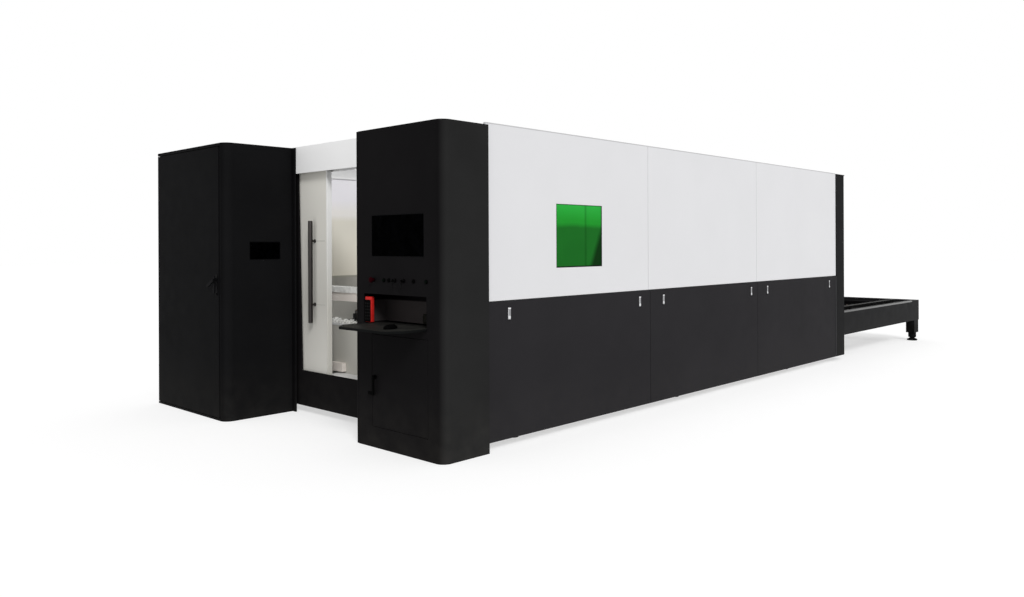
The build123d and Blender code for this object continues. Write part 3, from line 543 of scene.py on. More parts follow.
key_steel = metal("key_steel", "key_steel", (6, 6, 6), 0.55, (90, 90, 90), 0.15, 0.05)
wire_ring = [(8 + 0.9 * math.cos(math.radians(a)), 0.9 * math.sin(math.radians(a))) for a in range(0, 361, 60)]
wire_ring[-1] = wire_ring[0]
for number, y in enumerate((490, 395), start=1):
    lathe([(10.2, -32), (10.2, 6.6), (9, 8), (4, 8), (0, 7)], (0, y, control_z), (-1, 0, 0))
    prism(rounded((-33, -14), (control_z - 10, control_z + 10), 8), "Y", (y - 1.4, y + 1.4),
          rounded((-30, -23), (control_z - 4, control_z + 4), 3))
    block((-15, -7), (y - 1.4, y + 1.4), (control_z - 4, control_z + 4), 0.6)
    lathe(wire_ring, (-26, y, control_z - 11), (1, 0, 0.3), 20)
    prism(rounded((y - 6, y + 6), (control_z - 42, control_z - 17), 5.5), "X", (-27, -25),
          rounded((y - 3, y + 3), (control_z - 25, control_z - 20), 2.4))
    teeth = [(y - 2.5, control_z - 41), (y - 2.5, control_z - 72), (y, control_z - 74)]
    teeth += [(y + (4 if n % 2 else 2), control_z - 72 + 5 * n) for n in range(7)]
    prism(teeth, "X", (-27, -25))
    piece(f"keys_{number}", key_steel, f"key_{number}", (f"key_switch_{number}",))

# Keyboard shelf
# A folded and coated plate with its front corners cut off, which runs out of a slot on hidden slides.
# A cordless mouse lies on it: a domed shell with a rubber wheel.
shelf_paint = powder_coated("shelf_powder_coat", "tower_black", (18, 19, 19), 0.5, 0.01, 0.1, 0.1, 0.5, (60, 58, 55))
prism([(150, 165), (150, 840), (-178, 840), (-190, 836), (-284, 746), (-290, 734), (-290, 271), (-284, 259),
       (-190, 169), (-178, 165)], "Z", (857, 875))
rim = [e for e in shape.edges if not e.is_boundary and e.calc_face_angle(0) > 1.2]
bmesh.ops.bevel(shape, geom=rim, offset=0.003, segments=2, profile=0.5, affect="EDGES")
piece("shelf_plate", shelf_paint, "shelf", ("keyboard_shelf",))
mouse_x, mouse_y, mouse_z = -155, 345, 875
lathe([(50, 0), (54, 3), (54, 8), (51, 15), (45, 21), (35, 26), (20, 29), (0, 30)], (mouse_x, mouse_y, mouse_z),
      steps=40)
bmesh.ops.scale(shape, vec=(1, 0.574, 1), space=Matrix.Translation(-at(mouse_x, mouse_y, mouse_z)),
                verts=shape.verts)
lathe([(5.4, -3), (6.5, -2), (6.5, 2), (5.4, 3)], (mouse_x + 30, mouse_y, mouse_z + 24), (0, 1, 0), 20)
piece("mouse_shell", control_black, "shelf", ("mouse",))

# Hand pendant
# A red moulded case with a black front full of small keys, hung on the far wall of the keyboard recess.
pendant_red = plastic("pendant_red_plastic", "pendant_red", (190, 34, 30), 0.45, 0.15, 1100, 0.1)
block((6, 36), (768, 841), (880, 1062), 6, 3)
piece("pendant_case", pendant_red, "pendant", ("hand_pendant",))
prism(rounded((774, 840), (884, 1040), 6), "X", (4.4, 7.5))
piece("pendant_front", control_black, "pendant")
rubber = plastic("black_rubber", "black_plastic", (24, 24, 24), 0.75, 0.05, 500, 0.2)
lathe([(6, 0), (6, 1.4), (5, 2.2), (0, 2.4)], (4.4, 788, 904), (-1, 0, 0), 16)
repeated("pendant_keys", [(4.4, 788 + 20 * row, 904 + 22 * line) for row in range(3) for line in range(6)], rubber,
         "pendant")

# Socket box
# A moulded box screwed to the back wall of the recess, with two lidded outlets in its face.
box_plastic = plastic("socket_plastic", "black_plastic", (17, 17, 12), 0.55, 0.05)
block((112, 200), (215, 330), (892, 958), 5, 3)
for y in (243, 302):
    prism(rounded((y - 23, y + 23), (904, 946), 6), "X", (108, 113), rounded((y - 19, y + 19), (908, 942), 4))
    prism(rounded((y - 18, y + 18), (909, 941), 3), "X", (109.5, 113))
    lathe([(2.4, -16), (2.4, 16)], (109, y, 948), (0, 1, 0), 12)
piece("socket_moulding", box_plastic, replaced=("socket_box",))

# Lower door handle
# A turning lever on a round boss: a flat grip whose foot turns out towards the hand.
lathe([(15, 0), (15, 3), (12.5, 5), (12.5, 14)], (0, 715, 500), (-1, 0, 0))
block((-26, -14), (704, 727), (372, 512), 5, 3)
block((-26, -15), (722, 772), (372, 398), 5, 3)
piece("tower_lever", control_black, "tower_handle_body", ("tower_door_handle",))

# Electrical cabinet
# A tall cabinet of folded sheet, powder coated black, with a full-height door set in a wide shadow gap.
# Its hidden side has two filter grilles. Inside are rows of drives on a zinc plate and the laser source.
cabinet_paint = powder_coated("cabinet_powder_coat", "cabinet_black", (15, 15, 16), 0.48, 0.008, 0.14, 0.04)
# Painted light: faces turned towards the near side are coloured lighter than the door face, one coat lit more on one
# side.
banded(cabinet_paint, "Y", (15, 15, 16), (-0.3, -0.7, (21, 21, 22)), by_normal=True)
block((296, 309), (2226, 2282), (2, 2267), 2)
piece("cabinet_back_flange", cabinet_paint)
folded("cabinet_shell", 2.5, cabinet_paint)
folded("cabinet_door", 1.2, cabinet_paint, "cabinet_door_body")
folded("cabinet_door_handle", 2.5, black_plastic, "cabinet_handle_body", 3)
prism(rounded((2395, 2429), (1020, 1196), 10), "X", (-324, -320.8))
lathe([(9, 0), (9, 4), (8, 5), (3, 5), (3, 3.5)], (-324, 2412, 1033), (-1, 0, 0), 24)
piece("cabinet_lock_plate", black_plastic, "cabinet_door_body")
grille_plastic = plastic("grille_plastic", "black_plastic", (58, 58, 58), 0.6, 0.2, 700)
for low in (420, 1750):
    prism(rounded((-130, 119), (low + 0.5, low + 249.5), 12), "Y", (3514.5, 3519.5),
          rounded((-116, 105), (low + 14.5, low + 235.5), 8))
piece("grille_frames", grille_plastic)
prism([(3514.5, 440), (3519, 431), (3519, 429), (3514.5, 438)], "X", (-117, 106))
repeated("grille_blades", [(-5.5, 3517, low + 20 + 13 * n) for low in (420, 1750) for n in range(17)],
         grille_plastic)

zinc = metal("zinc_plate", "zinc_plate", (176, 178, 172), 0.38, (40, 40, 40), 0.1, 0.08)
source_paint = powder_coated("source_powder_coat", "source_grey", (150, 152, 154), 0.42, 0.4)
folded("drive_rack", 1.5, zinc)
folded("laser_source", 2, source_paint)
drive_ys = [2490 + 155 * n for n in range(6)]
drive_spots = [(-20, y, z) for y in drive_ys for z in (1420, 1780)]
block((-27, -19), (2496, 2604), (1450, 1690), 3)
block((-31, -26), (2520, 2580), (1620, 1670), 1)
repeated("drive_covers", drive_spots, black_plastic)
for n in range(10):
    block((-30, -19), (2497 + 10.6 * n, 2506 + 10.6 * n), (1426, 1444), 1, 1)
terminal_green = plastic("terminal_plastic", "button_green", (46, 120, 70), 0.5, 0.3)
repeated("drive_terminals", drive_spots, terminal_green)
block((86.5, 90.5), (2473, 2481), (1002, 1058), 1, 1)
duct_plastic = plastic("duct_plastic", "source_grey", (128, 130, 132), 0.6, 0.3, 500)
repeated("duct_fingers", [(90, 2477 + 12 * n, z) for z in (1000, 1340, 1700) for n in range(78)], duct_plastic)
for y in (2600, 3280):
    for z in (160, 240):
        lathe([(6, 0), (6, 26)], (-246, y, z), (-1, 0, 0), 12)
    lathe([(4, 148), (7, 152), (7, 248), (4, 252)], (-272, y, 0), steps=12)
for radius in (20, 34, 48, 62, 74):
    lathe([(radius, 0), (radius + 3, 0), (radius + 3, 4), (radius, 4), (radius, 0)], (-246, 2940, 195), (-1, 0, 0))
repeated("source_fronts", [(-246, 2940, 195 + 210 * n) for n in range(3)], black_plastic)

# Side panels
# Large trays folded from sheet and powder coated white above, charcoal below, with thin even seams between them.
# Grey strips in the joints to the tower and the column are painted highlights of those edges, and a grey line runs
# along the top.
white_paint = powder_coated("white_powder_coat", "panel_white", (222, 222, 224), 0.42, 0.35, 0.012, 0.02)
charcoal_paint = powder_coated("charcoal_powder_coat", "panel_black", (43, 42, 44), 0.5, 0.012, 0.06, 0.03)
for number in (1, 2, 3):
    folded(f"side_panel_{number}", 1.2, white_paint)
    folded(f"lower_panel_{number}", 1.2, charcoal_paint, f"panel_{number}")
highlight_and_joint_shade_rubber = plastic("highlight_and_joint_shade_rubber", "frame_black", (70, 70, 72), 0.6, 0.1, 400)
# Painted highlights: grey strips where the tower's back edge and the column's edge catch light.
block((424.2, 428.5), (30.5, 40), (62, 1032), 1)
block((6367, 6372.5), (24, 40), (62, 1032), 1)
piece("lower_edge_seals", highlight_and_joint_shade_rubber)
# The grey strip along the top draws a darker line on the top fold, painted shade; the strips up beside the tower
# draw a grey line at its back edge.
edge_line_grey = powder_coated("edge_line_coat", "panel_white", (196, 196, 197), 0.4, 0.2)
block((427.5, 6367.5), (28.6, 33), (2264, 2272), 1)
block((480, 6367.5), (2952, 2956.4), (2264, 2272), 1)
for y in (30.5, 2949):
    block((424.2, 426.8), (y, y + 5), (1038, 2270), 0.8)
piece("panel_trims", edge_line_grey)

# Green window
# A laser-safe sheet, tinted green, held flush in the first panel by a thin rubber bead.
window_sheet, tree, shader = new_finish("green_laser_sheet", 0.07, 0, 0.05)
shader["Transmission Weight"].default_value = 0.3
shader["IOR"].default_value = 1.1
# The sheet's colour is a painted view of the lit cabin behind it: lighter towards the top, a dark vertical line, and
# painted shade over its lower far corner.
axes = split(point(tree))
rise = sum_of("ADD", axes["Z"], ramp(noise(tree, 3, 2), 0.3, 0.7, -0.006, 0.006))
middle = blended(ramp(rise, 1.553, 1.592), (35, 119, 43), (42, 164, 54))
sheet_green = blended(ramp(rise, 1.61, 1.72), middle, (54, 188, 74))
off_line = sum_of("ABSOLUTE", sum_of("ADD", axes["X"], 2.995), 0)
dark_line = ramp(off_line, 0.006, 0.017, 0.32, 0)
lean = sum_of("SUBTRACT", axes["X"], sum_of("MULTIPLY", axes["Z"], 0.473))
corner = ramp(lean, -3.555, -3.5, 0, 0.85)
lined = blended(dark_line, sheet_green, (6, 60, 12))
join(blended(corner, lined, (14, 38, 16)), shader["Base Color"])
dress(window_sheet, "window_glass")
prism(rounded((1170.5, 1732.5), (1253.5, 1734.5), 4), "Y", (30.4, 33), rounded((1174, 1725), (1262, 1731), 3))
piece("window_bead", black_plastic)

# Paddle latches
# Chrome paddles sunk in pressed surrounds, two to each lower panel, which hinge at the top on a pin.
latch_xs = (656, 2258, 2620, 4235, 4590, 6180)
latch_chrome = metal("latch_chrome", "chrome_trim", (222, 222, 224), 0.35, (60, 60, 60), 0.04, 0.02)
# Each chrome paddle is coated flat grey: painted shade where its chrome reads dark.
latch_shaded_chrome = powder_coated("latch_body_coat", "chrome_trim", (150, 150, 152), 0.4, 0.3, 0.1, 0)
for number, x in enumerate(latch_xs, start=1):
    block((x - 15.5, x + 15.5), (29.5, 33.5), (899.5, 984.5), 2)
    piece(f"latch_paddle_{number}", latch_shaded_chrome, f"latch_{number}_body", (f"latch_{number}",))
    # Bright chrome at the hinge pin along the top and at the lock barrel; the strip down the paddle's left edge is a
    # painted highlight.
    block((x - 15.6, x + 15.6), (28.2, 30), (973, 984.4), 1)
    prism(rounded((x - 15.4, x - 11), (903, 968), 1.5), "Y", (28.6, 30))
    lathe([(12, 0), (12, 1.6), (10, 2.6)], (x + 1, 29.8, 915), (0, -1, 0), 24)
    piece(f"latch_bright_{number}", latch_chrome, f"latch_{number}_body")
for number in (1, 2, 3):
    for x in latch_xs[2 * number - 2:2 * number]:
        prism(rounded((x - 21.5, x + 21.5), (892.5, 991.5), 5), "Y", (26.4, 27.4),
              rounded((x - 16.6, x + 16.6), (897.4, 986.6), 2.5))
    piece(f"latch_surrounds_{number}", charcoal_paint, f"panel_{number}")

# End columns
# Posts folded from thick sheet and coated charcoal, each closed by a cap that stands slightly proud.
column_paint = powder_coated("column_powder_coat", "column_black", (25, 25, 26), 0.42, 0.01, 0.05, 0.04)
folded("end_columns", 4, column_paint, segments=3)
for y in (25, 2810):
    block((6371, 6626), (y - 3, y + 153), (2255, 2266), 2)
piece("column_caps", column_paint)

# Far side and end wall
# The same white and charcoal trays, fixed by rows of button-head screws, and an end wall of white sheet.
# A black frame trims the pallets' opening, and rubber strips hang over its top.
folded("far_upper_panels", 1.2, white_paint)
folded("far_lower_panels", 1.2, charcoal_paint)
folded("end_wall", 2, white_paint)
folded("front_panel", 1.2, white_paint)
screw = [(7, 0), (7, 0.8), (5.6, 3), (3, 3.8), (2.6, 2.4)]
far_face = 2955
far_seams = (480, 2386, 4350, 6373)
lathe(screw, (512, far_face, 1075), (0, 1, 0), 12)
spots = [(x, far_face, z) for a, b in zip(far_seams, far_seams[1:]) for x in (a + 32, b - 37)
         for z in (1075, 1360, 1650, 1940, 2230)]
repeated("far_upper_screws", spots, zinc)
lathe(screw, (512, far_face, 100), (0, 1, 0), 12)
spots = [(x, far_face, z) for a, b in zip(far_seams, far_seams[1:]) for x in (a + 32, (a + b) / 2, b - 37)
         for z in (100, 390, 690, 990)]
repeated("far_lower_screws", spots, black_plastic)
prism([(2954, 560), (2962, 548), (2954, 544)], "X", (1000, 1260))
repeated("far_louvres", [(x, far_face, 550 + 20 * n) for x in (1130, 3100, 5000) for n in range(12)], charcoal_paint)
lathe(screw, (6593, 205, 200), (1, 0, 0), 12)
spots = [(6593, y, z) for y in (205, 2780) for z in (200, 480, 760, 1075, 1350, 1625, 1900, 2160)]
spots += [(6593, y, 2160) for y in (530, 855, 1180, 1492, 1805, 2130, 2455)]
repeated("end_wall_screws", spots, zinc)
for y in ((172, 204), (2781, 2813)):
    block((6590, 6601), y, (62, 1032), 2)
block((6590, 6601), (172, 2813), (996, 1034), 2)
piece("opening_trim", column_paint)
rubber_strip = plastic("strip_rubber", "black_plastic", (30, 30, 31), 0.7, 0.1, 300)
block((6576, 6580), (205, 262), (905, 1010), 1, 1)
repeated("opening_strips", [(6578, 233 + 60.3 * n, 957) for n in range(43)], rubber_strip, variation=0.015)

# Door header, sill and threshold
# A white box section carries the door's rail, and a black sill guides its foot.
# The header's white is painted lighter than the side panels' white: painted light for the shade it stands in.
header_paint = powder_coated("header_powder_coat", "panel_white", (247, 247, 247), 0.42, 0.3, 0.012, 0.02)
folded("door_header", 1.2, header_paint)
sill_paint = powder_coated("sill_powder_coat", "cabinet_black", (21, 20, 21), 0.48, 0.01, 0.08, 0.04)
folded("door_sill", 2, sill_paint)
frame_white = powder_coated("inner_frame_coat", "panel_white", (236, 236, 236), 0.45, 0.3, 0.02, 0.12, 0.2,
                            (150, 148, 144))
folded("cabin_frame", 3, frame_white)

# Sliding door
# A leaf folded from sheet and coated warm white, with a brighter edge profile clipped over its leading edge.
# A long satin tube on two stand-offs is its handle.
door_paint = powder_coated("door_powder_coat", "door_white", (215, 213, 206), 0.4, 0.3, 0.02, 0.02)
# Painted light and shade: the leaf's coat turns darker low down and lighter towards the top.
banded(door_paint, "Z", (219, 217, 210), (0.5, 0.95, (200, 198, 191)), (0.95, 2, (232, 230, 222)))
folded("door_leaf", 1.2, door_paint, "sliding_door")
edge_paint = powder_coated("edge_profile_coat", "door_white", (250, 250, 250), 0.35, 0.3, 0.01, 0.02)
# The edge profile is painted the same way, darker low down and lighter above.
banded(edge_paint, "Z", (206, 204, 196), (0.9, 1.8, (250, 250, 249)))
prism([(356.5, 1845), (356.5, 1836), (358, 1834.5), (402, 1834.5), (404, 1836.5), (404, 1856), (401, 1856),
       (401, 1839), (359.8, 1839), (359.8, 1845)], "Z", (346, 2051))
piece("door_edge_profile", edge_paint, "sliding_door")
for z in (520, 1200, 1880):
    prism([(403, 1880), (403, 2840), (380, 2840), (380, 2837), (400, 2837), (400, 1883), (380, 1883), (380, 1880)],
          "Z", (z, z + 30))
piece("door_stiffeners", door_paint, "sliding_door")
# Painted shadows: two thin grey strips run from the stand-offs towards the leading edge, where their shadows fall.
for z in (930, 1466):
    block((358.9, 361), (1872, 2000), (z - 3, z + 3), 0.8, 1)
standoff_shadow_grey = powder_coated("standoff_shadow_coat", "door_white", (184, 183, 176), 0.5, 0.1)
piece("door_press_lines", standoff_shadow_grey, "sliding_door")
handle_coat = metal("handle_satin", "handle_grey", (66, 63, 62), 0.42, (120, 120, 6), 0.12, 0.05)
lathe([(15, 775), (18, 777), (19, 781), (19, 1630), (18, 1634), (15, 1636)], (315, 2020, 0), steps=28)
for z in (930, 1466):
    lathe([(16, 2), (16, 5), (9.5, 8), (9, 12), (9, 40)], (362, 2020, z), (-1, 0, 0), 20)
piece("door_pull", handle_coat, "sliding_door", ("door_handle",))

# Far lining
# A thin coated sheet on the frame's inner faces: cool white above, cream over its middle,
# and grey with spatter low down.
lining, tree, shader = new_finish("lining_coat", 0.5, 0, 0.2)
coat = group_node(tree, powder, {"Colour": (1, 1, 1, 1), "Roughness": 0.5, "Unevenness": 0.03, "Dust": 0})
height = split(point(tree))["Z"]
grime = noise(tree, 5, 7)
cream = blended(ramp(height, 1.14, 1.62), (246, 240, 224), (237, 233, 220))
cool = blended(ramp(height, 1.76, 1.88), (251, 248, 244), (252, 250, 255))
upper = blended(ramp(height, 1.665, 1.725), cream, cool)
grey = blended(ramp(grime, 0.35, 0.7), (190, 187, 179), (170, 167, 159))
whole = blended(ramp(height, 1.112, 1.128), grey, upper)
off_seam = sum_of("ABSOLUTE", sum_of("SUBTRACT", height, 1.12), 0)
seam = ramp(off_seam, 0.006, 0.012, 1, 0)
marked = blended(seam, whole, (176, 173, 160))
mixed = wire(tree, "ShaderNodeMix", {"Factor": 1, 6: marked, 7: coat["Colour"]}, data_type="RGBA",
             blend_type="MULTIPLY")["Result"]
surface(shader, coat, 0.2, 0.0003, mixed)
dress(lining, "far_lining")
# Dark strips cover the joints between the lining sheets, their darkness painted shade of the gaps.
for x in (2386, 5140):
    block((x - 8, x + 8), (2864.5, 2868.2), (130, 2100), 1, 1)
piece("lining_joints", highlight_and_joint_shade_rubber)
prism([(2868, 2084), (2860, 2084), (2860, 2096), (2862, 2098), (2862, 2186), (2860, 2190), (2868, 2190)], "X",
      (522, 6298))
piece("lining_top_rail", frame_white)

# Cable bridge
# A painted beam over the bed's front plate, which carries an energy chain of pale links.
# Pale clips and offcuts lie along the plate's top behind a bright angle.
bridge_paint = powder_coated("bridge_coat", "panel_white", (244, 236, 228), 0.45, 0.25, 0.03, 0.05)
folded("cable_bridge", 4, bridge_paint)
link_plastic = plastic("link_plastic", "panel_white", (238, 238, 234), 0.5, 0.3, 500)
for x in (558, 644):
    prism(rounded((262, 306), (1024, 1074), 12), "X", (x, x + 8))
block((566, 644), (276, 292), (1066, 1074), 2)
repeated("bridge_links", [(605, 284 + 42 * n, 1048) for n in range(58)], link_plastic, variation=0.02)
block((576, 606), (140, 164), (757, 782), 5)
block((600, 632), (150, 180), (757, 774), 7)
block((585, 618), (132, 150), (770, 794), 4)
repeated("bed_clips", [(600, 155 + 47 * n, 758) for n in range(57)], link_plastic, variation=0.35)
prism([(555, 744), (560, 744), (560, 757), (575, 757), (575, 761), (555, 761)], "Y", (132, 2853))
piece("bed_angle", frame_white)

# Bed
# A welded and painted frame of box beams, with weld beads at its ties and hexagon bolts along its beams.
bed_paint = powder_coated("bed_paint", "bed_grey", (204, 202, 194), 0.4, 0.35, 0.05, 0.3, 0.3, (96, 94, 92))
folded("machine_bed", 5, bed_paint, segments=3)
bolt_steel = metal("bolt_steel", "zinc_plate", (120, 120, 122), 0.35, (60, 60, 60), 0.1, 0.05)
lathe([(14, 0), (14, 2), (11, 2), (11, 10), (9.5, 12)], (700, 148, 900), steps=6)
repeated("bed_bolts", [(700 + 400 * n, y, 900) for n in range(13) for y in (148, 2837)], bolt_steel)
for n in range(24):
    block((1296, 1304), (332 + 4 * n, 337 + 4 * n), (86, 94), 2, 1)
repeated("bed_welds", [(x, y, 90) for x in (1300, 1400, 2700, 2800, 4100, 4200, 5520) for y in (380, 2609)],
         bolt_steel, slot="bed_grey")
frame_paint = powder_coated("frame_powder_coat", "frame_black", (28, 28, 29), 0.5, 0.02, 0.06, 0.12, 0.3,
                            (112, 110, 106))
folded("slag_bins", 1.2, frame_paint)

# Guide rails and racks
# Ground profile rails with plugged bolt holes, and hardened racks whose teeth drive the gantry.
ground_steel = metal("ground_steel", "machined_steel", (186, 187, 190), 0.28)
rail_ys = (230, 2755)
for middle in rail_ys:
    half = [(15, 900), (15, 908), (11.5, 913), (11.5, 921), (15, 925), (15, 930), (13, 932)]
    outline = [(middle + a, z) for a, z in half] + [(middle - a, z) for a, z in reversed(half)]
    prism(outline, "X", (700, 5580))
    block((700, 5580), (middle + 45, middle + 70), (900, 917), 1)
piece("rail_profiles", ground_steel, replaced=("guide_rails",))
prism([(700, 916.5), (709.4, 916.5), (706.8, 926), (702.6, 926)], "Y", (275, 300))
repeated("rack_teeth", [(704.7 + 9.42 * n, y, 921) for n in range(517) for y in (287.5, 2812.5)], ground_steel,
         crease=20)
lathe([(7, 0), (7, 0.6), (6, 0.8), (0, 0.5)], (740, 230, 932), steps=10)
repeated("rail_plugs", [(740 + 80 * n, y, 932) for n in range(60) for y in rail_ys], black_plastic)

# Gantry
# A welded beam on two trucks, coated light grey, with ribs on its sloping back and ground rails on its face.
# A finned motor stands at each end, and an energy chain lies in a tray along the top.
gantry_paint = powder_coated("gantry_powder_coat", "gantry_grey", (196, 198, 200), 0.38, 0.4, 0.02, 0.1)
folded("gantry_beam", 4, gantry_paint, "gantry", 3)
for z in (1070, 1250):
    half = [(0, 14.8), (-8, 14.8), (-13, 10), (-19, 10), (-23, 14.8), (-25.5, 14.8), (-25.5, 0)]
    outline = [(1500 + a, z + 15 + b) for a, b in half] + [(1500 + a, z + 15 - b) for a, b in reversed(half[:-1])]
    prism(outline, "Y", (362, 2623))
piece("beam_rails", ground_steel, "gantry")
prism([(1640, 1318), (1790, 1134), (1790, 1040), (1778, 1040), (1778, 1130), (1630, 1312)], "Y", (400, 408))
repeated("gantry_ribs", [(1700, 404 + 236 * n, 1200) for n in range(10)], gantry_paint, "gantry")
motor_black = powder_coated("motor_enamel", "black_plastic", (34, 34, 36), 0.4, 0.15, 0.05, 0.1)
block((1552, 1708), (162, 298), (1262, 1267), 2)
repeated("motor_fins", [(1630, y, 1264 + 11 * n) for y in rail_ys for n in range(15)], motor_black, "gantry")
lathe([(52, 0), (56, 4), (56, 22), (50, 30), (0, 32)], (1630, 230, 1430))
block((1690, 1730), (208, 252), (1380, 1424), 5)
repeated("motor_encoders", [(1630, y, 1430) for y in rail_ys], black_plastic, "gantry")
prism([(1538, 1320), (1538, 1362), (1541, 1362), (1541, 1323), (1619, 1323), (1619, 1362), (1622, 1362),
       (1622, 1320)], "Y", (380, 2610))
piece("gantry_tray", zinc, "gantry")
for x in (1546, 1606):
    prism(rounded((400, 437), (1325, 1360), 9), "X", (x, x + 7))
block((1550, 1609), (411, 425), (1353, 1360), 2)
repeated("gantry_links", [(1580, 418 + 34 * n, 1342) for n in range(64)], black_plastic, "gantry")
block((1412, 1421), (134, 326), (908, 1022), 3)
repeated("truck_wipers", [(x, y, 965) for x in (1416, 1864) for y in rail_ys], link_plastic, "gantry",
         slot="black_plastic")

# Carriage, vertical slide and cutting head
# A cast carriage on the beam's rails and a ground slide.
# The head has its collimator, focus ring, ceramic and nozzle.
cast_paint = powder_coated("carriage_coat", "bed_grey", (96, 99, 104), 0.4, 0.3, 0.04, 0.08, 0.3, (150, 150, 150))
folded("y_carriage", 4, cast_paint, "carriage", 3)
folded("z_slide", 3, ground_steel, "head")
block((1442, 1474), (1345, 1425), (1065, 1105), 3)
repeated("carriage_bearings", [(1475, y, z) for y in (1385, 1595) for z in (1085, 1265)], ground_steel, "carriage")
block((1418, 1470), (1462, 1518), (1458, 1560), 6)
lathe([(22, 0), (24, 3), (24, 22), (18, 27), (0, 28)], (1444, 1490, 1560), steps=28)
piece("lift_motor", motor_black, "carriage")
lathe([(9, 0), (9, 7), (7.5, 9), (4, 9), (4, 5)], (1342, 1388, 1140), (-1, 0, 0), 16)
repeated("slide_bolts", [(1342, y, z) for y in (1388, 1592) for z in (1140, 1180, 1260, 1300)], bolt_steel, "head")
head_at = (1295, 1490, 950)
head_coat = powder_coated("head_anodised", "black_plastic", (28, 29, 32), 0.3, 0.5, 0.04, 0, 0.4, (150, 150, 152))
lathe([(40, 172), (47, 178), (47, 232), (44, 235), (44, 262), (47, 265), (47, 354), (42, 362), (28, 383), (26, 388),
       (26, 436), (22, 440)], head_at, steps=40)
block((1238, 1262), (1466, 1514), (1135, 1175), 3)
for y in (1436, 1544):
    lathe([(9, -6), (9, 6)], (1295, y, 1240), (0, 1, 0), 16)
piece("head_housing", head_coat, "head", ("cutting_head",))
lathe([(34, 92), (34, 108), (32, 110), (32, 120), (34, 122), (34, 150), (42, 160), (42, 172)], head_at, steps=40)
block((1308, 1345), (1470, 1510), (1105, 1128), 2)
piece("focus_ring", ground_steel, "head")
ceramic = plastic("ceramic", "panel_white", (232, 226, 212), 0.35, 0.5, 700, 0.05)
lathe([(17, 50), (21, 55), (30, 70), (33, 78), (33, 92)], head_at, steps=36)
piece("nozzle_ceramic", ceramic, "head")
copper = metal("nozzle_copper", "machined_steel", (214, 140, 96), 0.28, (90, 90, 90), 0.15, 0.05)
lathe([(2, 3), (2, 0), (4.5, 0), (13, 18), (15, 24), (15, 30), (17, 30), (17, 50)], head_at, steps=36)
piece("nozzle", copper, "head")

# Pallets
# Welded frames on flanged wheels, with saw-tooth slats in slotted plates. Cutting has burnt the slats' tips.
# Beads of slag cling to the teeth.
pallet_paint = powder_coated("pallet_coat", "frame_black", (52, 52, 53), 0.5, 0.06, 0.08, 0.3, 0.4, (120, 116, 110))
wheel_steel = metal("wheel_steel", "machined_steel", (112, 110, 108), 0.35, (60, 60, 60), 0.15, 0.08)
slag = metal("slag", "slat_steel", (92, 86, 80), 0.6, (200, 200, 200), 0.5, 0.5)
for level, start, tread, body in (("upper", 1100, 590, "upper_pallet"), ("lower", 6050, 240, "lower_pallet")):
    folded(f"{level}_pallet_frame", 2, pallet_paint, body)
    slat_steel, tree, shader = new_finish(f"{level}_slat_steel", 0.45, 1)
    skin = group_node(tree, worked, {"Colour": (170, 167, 162), "Roughness": 0.42, "Streaks": (60, 60, 9),
                                     "Contrast": 0.25})
    burn = ramp(noise(tree, 16, 5), 0.3, 0.7, -0.018, 0.018)
    reach = sum_of("ADD", split(point(tree))["Z"], burn)
    tip = (tread + 250) / 1000
    blue = blended(ramp(reach, tip - 0.085, tip - 0.05), skin["Colour"], (112, 112, 120))
    straw = blended(ramp(reach, tip - 0.05, tip - 0.03), blue, (138, 118, 94))
    black = blended(ramp(reach, tip - 0.022, tip - 0.008), straw, (82, 76, 72))
    skin["Roughness"] = ramp(reach, tip - 0.06, tip - 0.01, 0.38, 0.75)
    surface(shader, skin, 0.3, 0.0003, black)
    dress(slat_steel, f"{level}_slats")
    pitch, step = 2065 / 14, 3040 / 24
    lathe([(0, -6), (4, -5), (7, -1), (6, 3), (3, 6), (0, 7)], (start + 30, 456 + pitch / 2, tread + 246),
          (0, 0.2, 1), 7)
    repeated(f"{level}_slag_beads", [(start + 30 + step * n, 460 + (t + 0.5) * pitch + (n * 37 % 11 - 5) * 0.8,
                                      tread + 246 - (n * 7 + t * 5) % 4) for n in range(25) for t in range(14)],
             slag, body, 0.45, 180)
    for side, y, out in (("near", 344.8, -1), ("far", 2640.2, 1)):
        lathe([(39, 0), (39, 2), (33, 3), (31, -0.5), (17, -0.5), (15, 3), (15, 5), (0, 6)],
              (start + 250, y, tread + 40), (0, out, 0))
        repeated(f"{level}_hub_faces_{side}", [(start + 250 + 1300 * n, y, tread + 40) for n in range(3)],
                 wheel_steel, body)
    lathe([(9, 0), (9, 5), (8, 6)], (start + 30, 430, tread + 130), steps=6)
    repeated(f"{level}_comb_bolts", [(start + 30 + 304 * n, y, tread + 130) for n in range(11) for y in (430, 2555)],
             wheel_steel, body)

# Exchange table
# Welded channels and an end crossbar, coated charcoal, with pale wear strips on the rails and roller chains inside.
# Threaded feet with locknuts level it and the bed.
table_paint = powder_coated("table_powder_coat", "frame_black", (28, 28, 29), 0.5, 0.02, 0.06, 0.05, 0.1,
                            (60, 59, 58))
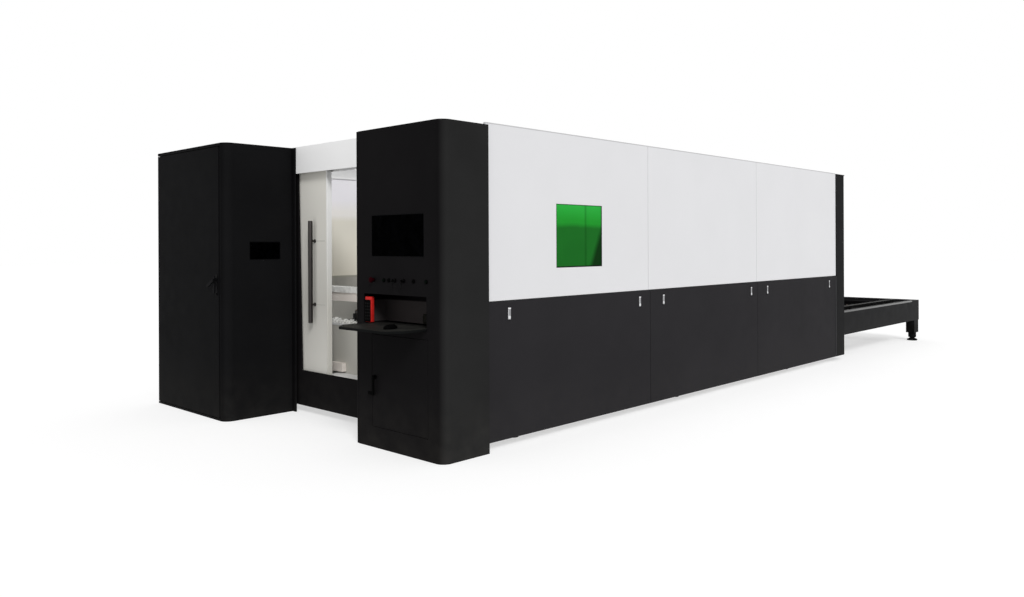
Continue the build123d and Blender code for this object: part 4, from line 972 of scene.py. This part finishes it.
# Painted shade: the coat turns near black below 0.2 to 0.3 m, and on the inner tracks between the rails in front of
# the crossbar.
tree, colour = banded(table_paint, "Z", (6, 6, 7), (0.2, 0.3, (28, 28, 29)))
rails = colour.links[0].from_socket
spot = split(point(tree))
off_middle = sum_of("ABSOLUTE", spot["Y"], 0)
inside = sum_of("MULTIPLY", ramp(off_middle, 1.58, 1.6, 1, 0), ramp(spot["X"], 4.66, 4.68, 1, 0))
join(blended(inside, rails, (7, 7, 7)), colour)
folded("exchange_frame", 3, table_paint)
wear_steel = metal("wear_strip", "machined_steel", (122, 122, 122), 0.42, (3, 200, 200), 0.2, 0.1)
for y in ((26.5, 44), (2941, 2958.5)):
    block((6624, 9096), y, (574, 592), 2)
piece("wear_strips", wear_steel)
for y in (2869, 2876):
    prism(rounded((6890, 6930), (540, 578), 6), "Y", (y, y + 2))
lathe([(13, 0), (13, 5)], (6910, 2871, 559), (0, 1, 0), 20)
repeated("rail_rollers", [(x, 2873, 559) for x in (6910, 7430, 8200, 8960)], wear_steel)
for y in (333.5, 339.2):
    prism(rounded((6702, 6722), (561.5, 569), 3.6), "Y", (y, y + 1.3))
for x in (6706, 6718):
    lathe([(3.2, 0), (3.2, 6.6)], (x, 333.8, 565.2), (0, 1, 0), 6)
chain_steel = metal("chain_steel", "machined_steel", (44, 43, 42), 0.5, (60, 60, 60), 0.15, 0.08)
runs = [(6712 + 24.6 * n, y, z) for n in range(106) for y in (337, 2648) for z in (565.2, 514.8)]
repeated("drive_chain", runs, chain_steel, crease=30)
teeth = [(23.4 if n % 2 else 27.5, n * math.pi / 14) for n in range(28)]
outline = [(9292 + r * math.cos(a), 540 + r * math.sin(a)) for r, a in teeth]
for y in (334, 2645):
    prism(outline, "Y", (y, y + 6))
    lathe([(12.2, 0), (18, 0), (18, 12), (12.2, 12), (12.2, 0)], (9292, y + 6 if y < 1000 else y, 540),
          (0, 1 if y < 1000 else -1, 0), 24)
piece("drive_sprockets", chain_steel)
block((9146, 9230), (126, 132), (436, 554), 2)
repeated("drive_motor_fins", [(9188, 136 + 10 * n, 495) for n in range(9)], motor_black)

thread = [(14 if n % 2 else 12.4, 30 + 3 * n) for n in range(200)]
foot_rubber = plastic("foot_rubber", "black_plastic", (16, 16, 16), 0.7, 0.05, 400)


def foot(x, y, top):
    """A levelling foot under the bed: a flat pad, a threaded stud and a hexagon locknut under its beam or leg."""
    lathe([(38, 0), (40, 2), (40, 5), (36, 7), (22, 14), (18, 20), (14, 24)], (x, y, 0), steps=28)
    rings = [ring for ring in thread if ring[1] < top - 24]
    lathe([(0, 22), (13, 24), *rings, (12.4, top - 17)], (x, y, 0), steps=14)
    lathe([(22, top - 20), (26, top - 17), (26, top - 4), (22, top)], (x, y, 0), steps=6)


for y in (88.5, 2896.5):
    lathe([(64, 0), (69, 5), (69, 17), (64, 21), (44, 30), (36, 34), (34, 38), (34, 46)], (9287.5, y, 0), steps=36)
    lathe([(44, 45), (50, 48), (53, 54), (53, 118)], (9287.5, y, 0), steps=36)
for y in (359, 2626):
    foot(6150, y, 118)
for x in (900, 3100, 5400):
    for y in rail_ys:
        foot(x, y, 60)
piece("turned_feet", foot_rubber, replaced=("levelling_feet",), crease=30)
